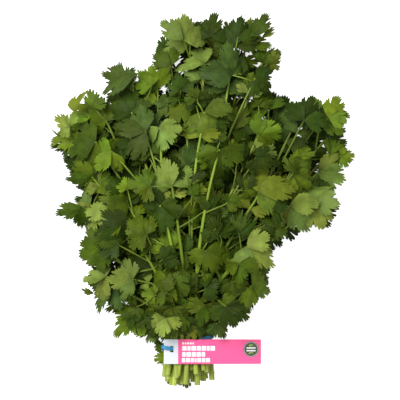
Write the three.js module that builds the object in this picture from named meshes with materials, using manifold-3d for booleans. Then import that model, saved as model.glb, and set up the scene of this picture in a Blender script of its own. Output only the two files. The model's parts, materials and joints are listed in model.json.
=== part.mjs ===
// A bunch of cut coriander: leafy stems held by an elastic band, which threads a card tag.
// Millimetres, +Z up. The bunch lies on z = 0 with its leaves towards +Y and its cut ends towards -Y.

import * as THREE from 'three';
import Module from 'manifold-3d';

const wasm = await Module();
wasm.setup();

// ---- Driving sizes -------------------------------------------------------------------------

// The neck: stems packed in staggered rows, straight from their cut ends to neck.exitY.
const neck = {
  x: -9.2, exitY: -98, endY: -134, endSpread: 5.5,
  pitchX: 4.6, pitchZ: 3.75, lowestZ: 3.3,
};
// Radii of a stem at its cut end, at the neck and at its leaf, and of a leaf stalk at both ends.
const stemRadius = { cut: 1.95, neck: 1.7, tip: 0.8 };
const stalkRadius = { root: 0.85, tip: 0.7 };
const stemSteps = 5;
const stemCrowd = 1.4;
const stalkSteps = 2;
// A leaf stalk starts this share of the way to its leaf, and heads along the stem for a bit.
const branch = { share: 0.62, nearest: 0.08, furthest: 0.88, along: 0.2 };
// How a stem's plan curve turns towards the way its leaf points, and how long its ends stay straight.
const sweep = { turn: 0.15, most: 0.2, straight: 0.3 };
// The last bend of a stem or stalk before its leaf: this far below the blade and short of it.
const collar = { below: 2.2, short: 3.2, lowest: 1.0 };

// The heap of leaves: depth falls from the middle to the rim of an ellipse.
const heap = { x: 0, y: 2, halfWidth: 124, halfLength: 140, rim: 15, rise: 46, floor: 2, riseRun: 95 };

// A compound leaf has three leaflets on one arched blade, cut to the rib between them.
const blade = { thickness: 0.75, arch: 0.22, archAhead: 0.8, floor: 0.4, lowestJoint: 2.4 };
const leafletTurn = 72;
const sideLeaflet = 0.88;
const jointRadius = 0.11;
// One leaflet, from its right side round its tip to its left: along its rib, and to the side.
const leafletEdge = [
  [0.36, 0.22], [0.74, 0.47], [0.7, 0.17], [1.0, 0.0], [0.7, -0.17], [0.74, -0.47], [0.36, -0.22],
];
const leafletHeart = [0.5, 0];
// A stem has five sides, as many as the joint of a leaf has corners.
const ringSides = 5;

// How far a leaf may turn, tip and rise while it looks for a place clear of its neighbours.
const search = {
  tries: 240, turn: 18, pitch: 34, droop: 0.65, roll: 38, lift: 2.5, liftGrowth: 0.06, drift: 0.02,
};
const clearance = { blade: 1.75, ball: 1.5, gap: 0.45, ownBlade: 1.4, joint: 7, cell: 6, step: 2.5 };

// The elastic band: round the neck, up over the left end of the tag, down through its slit and on
// below it. Its corner is how square it lies: 2 is an ellipse, more is squarer. It sinks so far into
// the table as to lie flat on it. The way it takes along Y: y at the neck's middle with its slope
// across X below, and slitY at the slit with its slope above.
const band = {
  width: 2.8, thickness: 1.0, halfWidth: 18.65, halfHeight: 14.1, corner: 4, sink: 0.17, segments: 48,
};
const bandWay = { y: -105.5, slope: 0.19, slitY: -111.2, topSlope: 0.31 };
const tag = { length: 72, width: 18.2, thickness: 0.6, left: -27.2, y: -113.1, z: 29.4, corner: 1.2 };
const slit = { x: -20.4, length: 7.0, width: 4.0 };

// ---- Plan of the bunch ---------------------------------------------------------------------

// Rows of the neck from the table up, and the stems of a row from left to right. A stem is its
// leaves, and the first one ends it. A leaf is [x, y, heading, size]: where its leaflets meet, the
// way it points in degrees clockwise from +Y, and the length of its middle leaflet.
const rows = [
  [
    [[-70, -42, -100, 21], [-40, -72, -130, 17]],
    [[-66, 22, -60, 22], [-56, -14, -80, 20], [-48, -44, -100, 18]],
    [[7, 113, 0, 22], [-8, 40, -40, 20]],
    [[60, 60, 10, 20], [38, 30, 40, 21], [28, -16, 50, 18]],
    [[50, -10, 100, 20], [34, -46, 140, 17]],
  ],
  [
    [[-80, 64, -30, 21], [-38, -2, -60, 18]],
    [[-52, 76, -20, 21], [-36, 44, -20, 20]],
    [[-24, 62, -20, 22], [-18, 20, -30, 20]],
    [[34, 115, 8, 26], [26, 66, 20, 20]],
    [[93, 44, 50, 21], [74, 30, 150, 18]],
    [[96, 33, 80, 17], [62, 4, 90, 18]],
  ],
  [
    [[-92, 50, -80, 22], [-66, 4, -80, 20]],
    [[-71, 56, -50, 20], [-48, 18, -50, 19]],
    [[-17, 94, -100, 18], [-20, 100, -50, 17]],
    [[-8, 117, -25, 29], [4, 76, 30, 20]],
    [[46, 101, 75, 18], [22, 52, 30, 20], [16, 6, 30, 18]],
    [[90, 60, 55, 25], [80, 56, 10, 21]],
    [[87, 20, 130, 21], [62, -10, 110, 17]],
  ],
  [
    [[-36, -88, -110, 19], [-37, -97, -120, 13]],
    [[-82, -4, -105, 28], [-60, -34, -90, 16]],
    [[-77, 42, -110, 28], [-50, -14, -70, 18]],
    [[-52, 81, -96, 26], [-32, 82, -50, 20]],
    [[3, 100, -10, 20], [-4, 54, -30, 19]],
    [[23, 93, 10, 28], [43, 90, 130, 18]],
    [[68, 53, -10, 27], [50, 66, -40, 19]],
    [[83, -3, 82, 23], [42, -32, 125, 15]],
  ],
  [
    [[-65, -64, -112, 22], [-50, -86, -130, 17]],
    [[-80, 16, -110, 20], [-66, -8, -80, 19]],
    [[-51, 64, -10, 19], [-65, 35, -140, 18]],
    [[-14, 73, -150, 21], [-8, 24, 20, 20]],
    [[43, 47, 85, 19], [40, 30, 110, 15]],
    [[68, 17, 110, 18], [66, -5, 150, 24]],
    [[35, -60, 165, 27], [20, -62, 120, 16]],
  ],
  [
    [[-73, -35, -100, 21], [-70, -58, -100, 18]],
    [[-54, -1, -60, 20], [-40, -26, -40, 17]],
    [[-30, 53, 170, 20], [-40, 50, -90, 24]],
    [[3, 64, 145, 28], [-8, -12, 30, 17]],
    [[43, 5, 80, 29], [50, -20, 130, 16]],
    [[38, -64, 95, 20], [12, -92, 155, 12]],
  ],
  [
    [[-54, -21, -130, 24], [-50, -59, -90, 18], [-26, -88, -160, 16]],
    [[-30, -5, 185, 21], [-24, -58, 185, 20]],
    [[-21, 10, -20, 21], [-8, -64, -50, 13]],
    [[14, 36, 180, 26], [4, -38, 170, 18], [3, -78, 180, 17]],
    [[34, -35, 130, 22], [28, -48, 160, 16], [20, -80, 160, 17]],
  ],
];

// ---- Small vector helpers ------------------------------------------------------------------

const radians = Math.PI / 180;
const add = (p, q, k = 1) => [p[0] + q[0] * k, p[1] + q[1] * k, p[2] + q[2] * k];
const mix = (p, q, t) => [p[0] + (q[0] - p[0]) * t, p[1] + (q[1] - p[1]) * t, p[2] + (q[2] - p[2]) * t];
const distance = (p, q) => Math.hypot(p[0] - q[0], p[1] - q[1], p[2] - q[2]);

// Seeded random numbers from 0 to 1.
function randomFrom(seed) {
  let state = seed >>> 0;
  return () => {
    state = (state + 0x6D2B79F5) >>> 0;
    let mixed = Math.imul(state ^ (state >>> 15), state | 1);
    mixed = (mixed + Math.imul(mixed ^ (mixed >>> 7), mixed | 61)) ^ mixed;
    return ((mixed ^ (mixed >>> 14)) >>> 0) / 4294967296;
  };
}

// ---- Keeping clear of what is already placed -----------------------------------------------

// Balls [x, y, z, radius] stand for what is placed, in cells of space, each with its owner: the
// number of a stem, or 0 for the tag and band. A stalk may touch its own stem, but no blade may.
const nobody = -1;
const cells = new Map();

function cellKey(i, j, k) {
  return ((i + 64) * 128 + (j + 64)) * 128 + (k + 64);
}

function occupy(balls, owner) {
  for (const ball of balls) {
    const [i, j, k] = ball.map((value) => Math.floor(value / clearance.cell));
    const key = cellKey(i, j, k);
    if (!cells.has(key)) cells.set(key, []);
    cells.get(key).push([...ball, owner]);
  }
}

function isClear(balls, owner) {
  for (const [x, y, z, radius] of balls) {
    const [i, j, k] = [x, y, z].map((value) => Math.floor(value / clearance.cell));
    for (let di = -1; di <= 1; di++) {
      for (let dj = -1; dj <= 1; dj++) {
        for (let dk = -1; dk <= 1; dk++) {
          for (const other of cells.get(cellKey(i + di, j + dj, k + dk)) ?? []) {
            const reach = radius + other[3] + clearance.gap;
            const apart = (x - other[0]) ** 2 + (y - other[1]) ** 2 + (z - other[2]) ** 2;
            if (other[4] !== owner && apart < reach * reach) return false;
          }
        }
      }
    }
  }
  return true;
}

// Balls along a chain of points, with the radius running evenly from one point to the next.
function ballsAlong(points, radii) {
  const balls = [];
  for (let n = 1; n < points.length; n++) {
    const steps = Math.ceil(distance(points[n - 1], points[n]) / clearance.step);
    for (let m = 0; m < steps; m++) {
      const t = m / steps;
      balls.push([...mix(points[n - 1], points[n], t), radii[n - 1] + (radii[n] - radii[n - 1]) * t]);
    }
  }
  return balls;
}

// ---- Stems ---------------------------------------------------------------------------------

// Height of a row of stems above the table at a place in the heap.
function loft(row, x, y) {
  const reach = ((x - heap.x) / heap.halfWidth) ** 2 + ((y - heap.y) / heap.halfLength) ** 2;
  const depth = heap.rim + heap.rise * Math.sqrt(Math.max(0, 1 - reach));
  return heap.floor + depth * (row + 0.5) / rows.length;
}

// The place of a stem in the neck.
function slotOf(row, column) {
  return {
    x: neck.x + (column - (rows[row].length - 1) / 2) * neck.pitchX,
    z: neck.lowestZ + row * neck.pitchZ,
  };
}

// A point of a stem beyond the neck, at t from 0 at the neck to 1 at the tip. In plan it is a cubic
// curve that leaves the neck straight; its height goes over to its row's height in the heap.
function stemPoint(stem, t) {
  const { slot, row, tip } = stem;
  const run = Math.hypot(tip[0] - slot.x, tip[1] - neck.exitY);
  const radial = Math.atan2(tip[0] - slot.x, tip[1] - neck.exitY);
  const swing = Math.atan2(Math.sin(stem.heading - radial), Math.cos(stem.heading - radial));
  const arrival = radial + Math.min(Math.max(swing * sweep.turn, -sweep.most), sweep.most);
  const a = 3 * t * (1 - t) ** 2;
  const b = 3 * t * t * (1 - t);
  const c = t ** 3;
  const pull = run * sweep.straight;
  const x = slot.x * ((1 - t) ** 3 + a) + (tip[0] - Math.sin(arrival) * pull) * b + tip[0] * c;
  const y = neck.exitY * (1 - t) ** 3 + (neck.exitY + pull) * a
    + (tip[1] - Math.cos(arrival) * pull) * b + tip[1] * c;
  const rise = 1 - (1 - Math.min(t * run / heap.riseRun, 1)) ** 2;
  const rising = slot.z + (loft(row, x, y) - slot.z) * rise;
  const end = tip[2] - loft(row, tip[0], tip[1]);
  return [x, y, rising + end * c];
}

// The last two points of a chain that comes from a place to the joint of a leaf, from below it.
function collarPoints(from, frame) {
  const way = add(frame.joint, from, -1);
  const short = collar.short / Math.max(Math.hypot(...way), collar.short);
  const bend = add(add(frame.joint, way, -short), frame.up, -collar.below);
  bend[2] = Math.max(bend[2], collar.lowest);
  return [bend, frame.joint];
}

// The chain of points and radii of a stem, from its cut end to the joint of its last leaf.
function stemChain(stem, frame) {
  const { slot } = stem;
  const points = [[slot.x, stem.endY, slot.z]];
  const radii = [stemRadius.cut];
  for (let n = 0; n < stemSteps; n++) {
    const t = (n / stemSteps) ** stemCrowd;
    points.push(stemPoint(stem, t));
    radii.push(stemRadius.neck + (stemRadius.tip - stemRadius.neck) * t);
  }
  points.push(...collarPoints(points.at(-1), frame));
  radii.push(stemRadius.tip, stemRadius.tip);
  return { points, radii };
}

// The chain of a leaf stalk: it leaves the stem forwards, and bends over to the leaf.
function stalkChain(stem, frame) {
  const { joint } = frame;
  const slot = [stem.slot.x, neck.exitY, stem.slot.z];
  const share = distance(joint, slot) / distance(stem.tip, slot);
  const t = Math.min(branch.furthest, Math.max(branch.nearest, share * branch.share));
  const root = stemPoint(stem, t);
  const ahead = stemPoint(stem, t + 0.04);
  const along = distance(root, joint) * branch.along / Math.max(distance(root, ahead), 0.01);
  const bend = add(root, add(ahead, root, -1), along);
  const points = [];
  const radii = [];
  for (let n = 0; n < stalkSteps; n++) {
    const s = n / stalkSteps;
    points.push(mix(mix(root, bend, s), mix(bend, joint, s), s));
    radii.push(stalkRadius.root + (stalkRadius.tip - stalkRadius.root) * s);
  }
  points.push(...collarPoints(points.at(-1), frame));
  radii.push(stalkRadius.tip, stalkRadius.tip);
  return { points, radii };
}

// ---- Leaves --------------------------------------------------------------------------------

// The frame of a leaf: its joint, forward along its rib, to its right, and up from its face.
function leafFrame(joint, heading, pitch, roll, size) {
  const ahead = [Math.sin(heading) * Math.cos(pitch), Math.cos(heading) * Math.cos(pitch), Math.sin(pitch)];
  const level = [Math.cos(heading), -Math.sin(heading), 0];
  const above = [
    level[1] * ahead[2] - level[2] * ahead[1],
    level[2] * ahead[0] - level[0] * ahead[2],
    level[0] * ahead[1] - level[1] * ahead[0],
  ];
  const [c, s] = [Math.cos(roll), Math.sin(roll)];
  const right = [0, 1, 2].map((n) => level[n] * c + above[n] * s);
  const up = [0, 1, 2].map((n) => above[n] * c - level[n] * s);
  return { joint, ahead, right, up, size };
}

// A point of the arched blade, u forward and v to the right of the joint, h off its middle face.
// Where the blade would sink into the table it lies on it.
function bladePoint(frame, u, v, h) {
  const drop = -blade.arch * (u * u * blade.archAhead + v * v) / frame.size;
  let point = add(frame.joint, frame.ahead, u);
  point = add(point, frame.right, v);
  point = add(point, frame.up, drop);
  point[2] = Math.max(point[2], blade.floor);
  return add(point, frame.up, h);
}

// A place on a leaflet as u and v of the leaf: which is -1, 0 or 1 from left to right.
function leafletPlace(frame, which, along, side) {
  const turn = which * leafletTurn * radians;
  const size = frame.size * (which === 0 ? 1 : sideLeaflet);
  return [
    size * (along * Math.cos(turn) - side * Math.sin(turn)),
    size * (along * Math.sin(turn) + side * Math.cos(turn)),
  ];
}

// Where the blade narrows round the joint, at an angle from the rib.
function jointPlace(frame, angle) {
  const radius = frame.size * jointRadius;
  return [radius * Math.cos(angle * radians), radius * Math.sin(angle * radians)];
}

const bladeSamples = [
  [0.22, 0], [0.42, -0.2], [0.42, 0.2], [0.45, 0], [0.62, -0.4], [0.62, 0.4], [0.62, -0.2], [0.62, 0.2],
  [0.66, 0], [0.75, -0.32], [0.75, 0.32], [0.84, 0], [0.8, -0.14], [0.8, 0.14], [0.96, 0], [0.44, 0.34],
  [0.44, -0.34],
];

function bladeBalls(frame) {
  const balls = [[...frame.joint, clearance.blade]];
  for (const which of [-1, 0, 1]) {
    for (const [along, side] of bladeSamples) {
      const [u, v] = leafletPlace(frame, which, along, side);
      balls.push([...bladePoint(frame, u, v, 0), clearance.blade]);
    }
  }
  return balls;
}

// Whether a blade stays off its own stalk, but for the stretch next to the joint.
function hangsFree(leafBalls, stalkBalls, joint) {
  return stalkBalls.every((ball) => distance(ball, joint) < clearance.joint || (
    leafBalls.every((other) => distance(ball, other) > ball[3] + clearance.ownBlade)));
}

// ---- Laying the bunch out ------------------------------------------------------------------

// Try turned, tipped and lifted places for a leaf until it and its stalk are clear of the others.
// Later tries lie flatter and reach further up and down. In the neck a stem is clear by its slot.
function settleLeaf(stem, plan, number) {
  const [x, y, heading, size] = plan;
  const random = randomFrom(stem.number * 97 + number * 1009 + 5);
  for (let n = 0; n < search.tries; n++) {
    const calm = 1 - n / search.tries;
    const turn = heading + (random() - 0.5) * 2 * search.turn;
    const pitch = (random() - search.droop) * 2 * search.pitch * calm;
    const roll = (random() - 0.5) * 2 * search.roll * calm;
    const lift = (random() - 0.5) * 2 * (search.lift + n * search.liftGrowth);
    const east = x + (random() - 0.5) * 2 * n * search.drift;
    const north = y + (random() - 0.5) * 2 * n * search.drift;
    const joint = [east, north, Math.max(loft(stem.row, east, north) + lift, blade.lowestJoint)];
    const frame = leafFrame(joint, turn * radians, pitch * radians, roll * radians, size);
    let chain;
    if (number === 0) {
      stem.tip = joint;
      stem.heading = heading * radians;
      chain = stemChain(stem, frame);
    } else {
      chain = stalkChain(stem, frame);
    }
    const first = number === 0 ? 1 : 0;
    const stalkBalls = ballsAlong(chain.points.slice(first), chain.radii.slice(first));
    const leafBalls = bladeBalls(frame);
    const clear = isClear(stalkBalls, stem.number) && isClear(leafBalls, nobody);
    if (clear && hangsFree(leafBalls, stalkBalls, joint)) {
      occupy([...stalkBalls, ...leafBalls], stem.number);
      return { frame, chain };
    }
  }
  throw new Error(`stem ${stem.number} has no clear place for its leaf ${number}`);
}

// How far a stem runs from the neck, in plan.
function stemRun(stem) {
  const [x, y] = stem.plan[0];
  return Math.hypot(x - stem.slot.x, y - neck.exitY);
}

// Every stem with its leaves, the longest stems settled first.
function layOut() {
  const stems = [];
  rows.forEach((row, rowIndex) => row.forEach((plan, column) => {
    const number = stems.length + 1;
    const endY = neck.endY + (randomFrom(number * 31)() - 0.5) * 2 * neck.endSpread;
    stems.push({ number, row: rowIndex, slot: slotOf(rowIndex, column), endY, plan, leaves: [] });
  }));
  const rounds = Math.max(...stems.map((stem) => stem.plan.length));
  const longest = [...stems].sort((a, b) => stemRun(b) - stemRun(a));
  for (let round = 0; round < rounds; round++) {
    for (const stem of longest) {
      if (round >= stem.plan.length) continue;
      stem.leaves.push(settleLeaf(stem, stem.plan[round], round));
    }
  }
  return stems;
}

// ---- Solids --------------------------------------------------------------------------------

function closedGeometry(positions, faces) {
  const geometry = new THREE.BufferGeometry();
  geometry.setAttribute('position', new THREE.Float32BufferAttribute(positions.flat(), 3));
  geometry.setIndex(faces.flat());
  return geometry;
}

function toSolid(geometry) {
  return new wasm.Manifold(new wasm.Mesh({
    numProp: 3,
    vertProperties: new Float32Array(geometry.getAttribute('position').array),
    triVerts: new Uint32Array(geometry.index.array),
  }));
}

function toMesh(name, solid, material) {
  const { vertProperties, triVerts } = solid.getMesh();
  const geometry = new THREE.BufferGeometry();
  geometry.setAttribute('position', new THREE.BufferAttribute(vertProperties, 3));
  geometry.setIndex(new THREE.BufferAttribute(triVerts, 1));
  const mesh = new THREE.Mesh(geometry, material);
  mesh.name = name;
  return mesh;
}

// The rim of a blade from the right side of its joint round its tip to the back of the joint, as
// u and v, with the places in it where the leaflets meet the joint.
function bladeRim(frame) {
  const outer = leafletTurn * 1.5;
  const rim = [jointPlace(frame, outer)];
  const joints = [0];
  for (const [which, next] of [[1, leafletTurn / 2], [0, -leafletTurn / 2], [-1, -outer]]) {
    for (const [along, side] of leafletEdge) rim.push(leafletPlace(frame, which, along, side));
    rim.push(jointPlace(frame, next));
    joints.push(rim.length - 1);
  }
  rim.push(jointPlace(frame, 180));
  joints.push(rim.length - 1);
  return { rim, joints };
}

// A ring of five points square to a chain at its nth point.
function chainRing({ points, radii }, n) {
  const after = points[Math.min(n + 1, points.length - 1)];
  const before = points[Math.max(n - 1, 0)];
  const along = new THREE.Vector3(...add(after, before, -1)).normalize();
  const across = new THREE.Vector3().crossVectors(along, new THREE.Vector3(0, 0, 1)).normalize();
  const over = new THREE.Vector3().crossVectors(across, along);
  const ring = [];
  for (let side = 0; side < ringSides; side++) {
    const angle = side * 2 * Math.PI / ringSides;
    const corner = new THREE.Vector3(...points[n]);
    corner.addScaledVector(across, Math.cos(angle) * radii[n]);
    corner.addScaledVector(over, Math.sin(angle) * radii[n]);
    ring.push(corner.toArray());
  }
  return ring;
}

// A stem or stalk and its leaf as one closed surface. Both faces of the blade have the same
// triangles, round a heart in each leaflet; the tube opens into the underside of the joint.
function leafGeometry({ frame, chain }) {
  const { rim, joints } = bladeRim(frame);
  const places = [...rim, ...[1, 0, -1].map((which) => leafletPlace(frame, which, ...leafletHeart))];
  const leaflets = [];
  for (let n = 0; n < 3; n++) {
    for (let k = joints[n]; k < joints[n + 1]; k++) leaflets.push([k, k + 1, rim.length + n]);
    leaflets.push([joints[n + 1], joints[n], rim.length + n]);
  }
  const positions = [
    ...places.map(([u, v]) => bladePoint(frame, u, v, blade.thickness / 2)),
    ...places.map(([u, v]) => bladePoint(frame, u, v, -blade.thickness / 2)),
  ];
  const under = places.length;
  const faces = [...leaflets, ...leaflets.map(([a, b, c]) => [c + under, b + under, a + under])];
  for (let k = 1; k < ringSides - 1; k++) faces.push([joints[0], joints[k], joints[k + 1]]);
  for (let k = 0; k < rim.length; k++) {
    const next = (k + 1) % rim.length;
    faces.push([k, k + under, next + under], [k, next + under, next]);
  }

  const firstRing = positions.length;
  const freeRings = chain.points.length - 1;
  for (let n = 0; n < freeRings; n++) positions.push(...chainRing(chain, n));
  const ringStarts = [];
  for (let n = 0; n < freeRings; n++) {
    ringStarts.push(Array.from({ length: ringSides }, (_, side) => firstRing + n * ringSides + side));
  }
  ringStarts.push(nearestTurn(ringStarts.at(-1), joints.map((k) => k + under), positions));
  for (let n = 0; n < freeRings; n++) {
    for (let side = 0; side < ringSides; side++) {
      const next = (side + 1) % ringSides;
      const [a, b] = [ringStarts[n][side], ringStarts[n][next]];
      const [c, d] = [ringStarts[n + 1][side], ringStarts[n + 1][next]];
      faces.push([b, a, d], [d, a, c]);
    }
  }
  for (let side = 1; side < ringSides - 1; side++) {
    faces.push([firstRing, firstRing + side, firstRing + side + 1]);
  }
  return closedGeometry(positions, faces);
}

// The corners of the joint, which run the other way round, started where they twist the tube least.
function nearestTurn(ring, joints, positions) {
  let best = null;
  let least = Infinity;
  for (let start = 0; start < ringSides; start++) {
    const turned = ring.map((_, side) => joints[(start - side + ringSides) % ringSides]);
    const twist = turned.reduce((sum, k, side) => sum + distance(positions[k], positions[ring[side]]), 0);
    if (twist < least) [best, least] = [turned, twist];
  }
  return best;
}

function leafyStem(stem) {
  return wasm.Manifold.union(stem.leaves.map((leaf) => toSolid(leafGeometry(leaf))));
}

// ---- Band and tag --------------------------------------------------------------------------

// The middle line of the band, as a closed curve.
function bandCurve() {
  const middle = band.thickness / 2 + band.halfHeight - band.sink;
  const points = [];
  const overTop = (x, z) => {
    const y = bandWay.slitY + bandWay.topSlope * Math.max(x - slit.x, (slit.x - x) * 0.6);
    points.push(new THREE.Vector3(x, y, z));
  };
  const under = tag.z - 1;
  overTop(slit.x + slit.width / 2 - 0.1, under + 0.1);
  for (const x of [-16, -8, 0]) overTop(x, under);
  for (const degrees of [58, 45, 20, 0, -20, -45, -70, -80, -90, -100, -110, -135, -160, -180, -200]) {
    const [c, s] = [Math.cos(degrees * radians), Math.sin(degrees * radians)];
    const x = neck.x + band.halfWidth * Math.sign(c) * Math.abs(c) ** (2 / band.corner);
    const z = middle + band.halfHeight * Math.sign(s) * Math.abs(s) ** (2 / band.corner);
    const y = bandWay.y + bandWay.slope * (x - neck.x);
    points.push(new THREE.Vector3(x, y, Math.max(z, band.thickness / 2)));
  }
  overTop(tag.left - 1.4, tag.z - 0.8);
  overTop(tag.left - 0.7, tag.z + 1.45);
  overTop(slit.x - slit.width / 2 - 1.6, tag.z + 1.65);
  overTop(slit.x - slit.width / 2, tag.z + 1.5);
  return new THREE.CatmullRomCurve3(points, true);
}

// The band is a strip of one width and thickness swept round its middle line.
function bandGeometry() {
  const points = bandCurve().getSpacedPoints(band.segments).slice(0, -1);
  for (const point of points) point.z = Math.max(point.z, band.thickness / 2);
  const positions = [];
  const faces = [];
  points.forEach((point, n) => {
    const before = points[(n + points.length - 1) % points.length];
    const after = points[(n + 1) % points.length];
    const out = new THREE.Vector3(before.z - after.z, 0, after.x - before.x).normalize();
    for (const [y, r] of [[-1, 1], [1, 1], [1, -1], [-1, -1]]) {
      const corner = point.clone().addScaledVector(out, r * band.thickness / 2);
      corner.y += y * band.width / 2;
      positions.push(corner.toArray());
    }
    const next = (n + 1) % points.length;
    for (let side = 0; side < 4; side++) {
      const [a, b] = [n * 4 + side, n * 4 + (side + 1) % 4];
      const [c, d] = [next * 4 + side, next * 4 + (side + 1) % 4];
      faces.push([a, c, d], [a, d, b]);
    }
  });
  return closedGeometry(positions, faces);
}

// The tag: a card with rounded corners and a slit near its left end.
function tagGeometry() {
  const [x0, x1] = [tag.left, tag.left + tag.length];
  const [y0, y1] = [tag.y - tag.width / 2, tag.y + tag.width / 2];
  const r = tag.corner;
  const card = new THREE.Shape();
  card.moveTo(x0 + r, y0);
  card.lineTo(x1 - r, y0);
  card.absarc(x1 - r, y0 + r, r, -Math.PI / 2, 0);
  card.lineTo(x1, y1 - r);
  card.absarc(x1 - r, y1 - r, r, 0, Math.PI / 2);
  card.lineTo(x0 + r, y1);
  card.absarc(x0 + r, y1 - r, r, Math.PI / 2, Math.PI);
  card.lineTo(x0, y0 + r);
  card.absarc(x0 + r, y0 + r, r, Math.PI, Math.PI * 1.5);
  const [dx, dy] = [slit.width / 2, slit.length / 2];
  const hole = new THREE.Path();
  hole.moveTo(slit.x - dx, bandWay.slitY - dy);
  hole.lineTo(slit.x - dx, bandWay.slitY + dy);
  hole.lineTo(slit.x + dx, bandWay.slitY + dy);
  hole.lineTo(slit.x + dx, bandWay.slitY - dy);
  hole.closePath();
  card.holes.push(hole);
  const extrusion = { depth: tag.thickness, bevelEnabled: false, curveSegments: 4 };
  const geometry = new THREE.ExtrudeGeometry(card, extrusion);
  geometry.translate(0, 0, tag.z);
  return geometry;
}

// Balls that keep the leaves off the tag and the band.
function tieBalls() {
  const { ball } = clearance;
  const balls = [];
  for (let x = tag.left; x <= tag.left + tag.length; x += ball * 2) {
    for (let y = tag.y - tag.width / 2; y <= tag.y + tag.width / 2; y += ball * 2) {
      balls.push([x, y, tag.z + tag.thickness / 2, ball]);
    }
  }
  for (const point of bandCurve().getSpacedPoints(band.segments)) {
    balls.push([...point.toArray(), ball]);
  }
  return balls;
}

// ---- The bunch -----------------------------------------------------------------------------

const leafGreen = new THREE.MeshStandardMaterial({ color: 0x5c7a26, roughness: 0.6, metalness: 0 });
const bandBlue = new THREE.MeshStandardMaterial({ color: 0x3c8cbe, roughness: 0.5, metalness: 0 });
const cardPink = new THREE.MeshStandardMaterial({ color: 0xff699f, roughness: 0.45, metalness: 0 });

function cardMesh() {
  const mesh = new THREE.Mesh(tagGeometry(), cardPink);
  mesh.name = 'card_tag';
  return mesh;
}

const bunch = new THREE.Group();
occupy(tieBalls(), 0);
for (const stem of layOut()) {
  const name = `leafy_stem_${String(stem.number).padStart(2, '0')}`;
  bunch.add(toMesh(name, leafyStem(stem), leafGreen.clone()));
}
bunch.add(toMesh('elastic_band', toSolid(bandGeometry()), bandBlue), cardMesh());

export default bunch;
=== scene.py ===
"""A cut coriander bunch: leafy stems, the elastic band round their neck and the card tag on it."""

import json
import math

import bpy
import numpy as np
from bpy.props import (
    FloatProperty,
    FloatVectorProperty,
    IntProperty,
    PointerProperty,
)
from bpy.types import Operator, Panel, PropertyGroup
from mathutils import Matrix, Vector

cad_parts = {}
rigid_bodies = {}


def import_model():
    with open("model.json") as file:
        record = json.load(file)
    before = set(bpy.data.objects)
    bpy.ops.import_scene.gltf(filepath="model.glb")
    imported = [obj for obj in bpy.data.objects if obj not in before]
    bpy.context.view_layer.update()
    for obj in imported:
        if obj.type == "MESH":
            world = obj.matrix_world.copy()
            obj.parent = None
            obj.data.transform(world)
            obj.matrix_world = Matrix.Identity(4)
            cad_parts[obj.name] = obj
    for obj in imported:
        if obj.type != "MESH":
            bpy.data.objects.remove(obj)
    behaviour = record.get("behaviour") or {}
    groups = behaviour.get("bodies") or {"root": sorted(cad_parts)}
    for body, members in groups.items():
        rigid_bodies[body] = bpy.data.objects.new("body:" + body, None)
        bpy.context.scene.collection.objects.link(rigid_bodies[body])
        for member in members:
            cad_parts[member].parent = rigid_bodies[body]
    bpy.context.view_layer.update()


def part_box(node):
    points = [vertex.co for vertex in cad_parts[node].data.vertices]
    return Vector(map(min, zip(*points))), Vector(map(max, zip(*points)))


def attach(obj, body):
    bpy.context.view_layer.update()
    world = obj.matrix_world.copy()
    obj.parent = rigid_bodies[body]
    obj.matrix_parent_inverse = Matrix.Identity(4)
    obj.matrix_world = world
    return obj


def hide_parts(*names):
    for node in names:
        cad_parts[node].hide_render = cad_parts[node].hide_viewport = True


bl_info = {
    "name": "Coriander Bunch",
    "version": (1, 0, 0),
    "blender": (4, 5, 0),
    "location": "View3D > Sidebar > Bunch",
    "description": "Builds a bunch of cut coriander with its elastic band and card tag",
    "category": "Add Mesh",
}

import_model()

MM = 0.001
BODY = "root"

# ---- Plan of the bunch, in millimetres ---------------------------------------------------------

NECK = {"x": -9.2, "exit": -98.0, "end": -134.0, "spread": 5.5, "pitch_x": 4.6, "pitch_z": 3.75, "low": 3.3}
STEM_RADIUS = {"cut": 1.95, "neck": 1.7, "tip": 0.8}
STALK_RADIUS = {"root": 0.85, "tip": 0.7}
STEM_STEPS = 5
STEM_CROWD = 1.4
STALK_STEPS = 2
BRANCH = {"share": 0.62, "nearest": 0.08, "furthest": 0.88, "along": 0.2, "ahead": 0.04}
SWEEP = {"turn": 0.15, "most": 0.2, "straight": 0.3}
COLLAR = {"below": 2.2, "short": 3.2, "lowest": 1.0}
HEAP = {"x": 0.0, "y": 2.0, "half_width": 124.0, "half_length": 140.0, "rim": 15.0, "rise": 46.0,
        "floor": 2.0, "rise_run": 95.0}
BLADE = {"arch": 0.22, "arch_ahead": 0.8, "floor": 0.4, "lowest_joint": 2.4}
LEAFLET_TURN = 72.0
SIDE_LEAFLET = 0.88
LOBE_PITCH = math.radians(36)
SEARCH = {"tries": 240, "turn": 18.0, "pitch": 34.0, "droop": 0.65, "roll": 38.0, "lift": 2.5,
          "lift_growth": 0.06, "drift": 0.02}
CLEAR = {"blade": 1.75, "ball": 1.5, "gap": 0.45, "own_blade": 1.4, "joint": 7.0, "step": 2.5}
BAND = {"width": 2.8, "thickness": 1.0, "half_width": 18.65, "half_height": 14.1, "corner": 4.0,
        "sink": 0.17, "segments": 48}
BAND_WAY = {"y": -105.5, "slope": 0.19, "slit_y": -111.2, "top_slope": 0.31, "back": 0.6}
TAG = {"length": 72.0, "width": 18.2, "thickness": 0.6, "left": -27.2, "y": -113.1, "z": 29.4, "corner": 1.2}
SLIT = {"x": -20.4, "length": 7.0, "width": 4.0}

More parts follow.
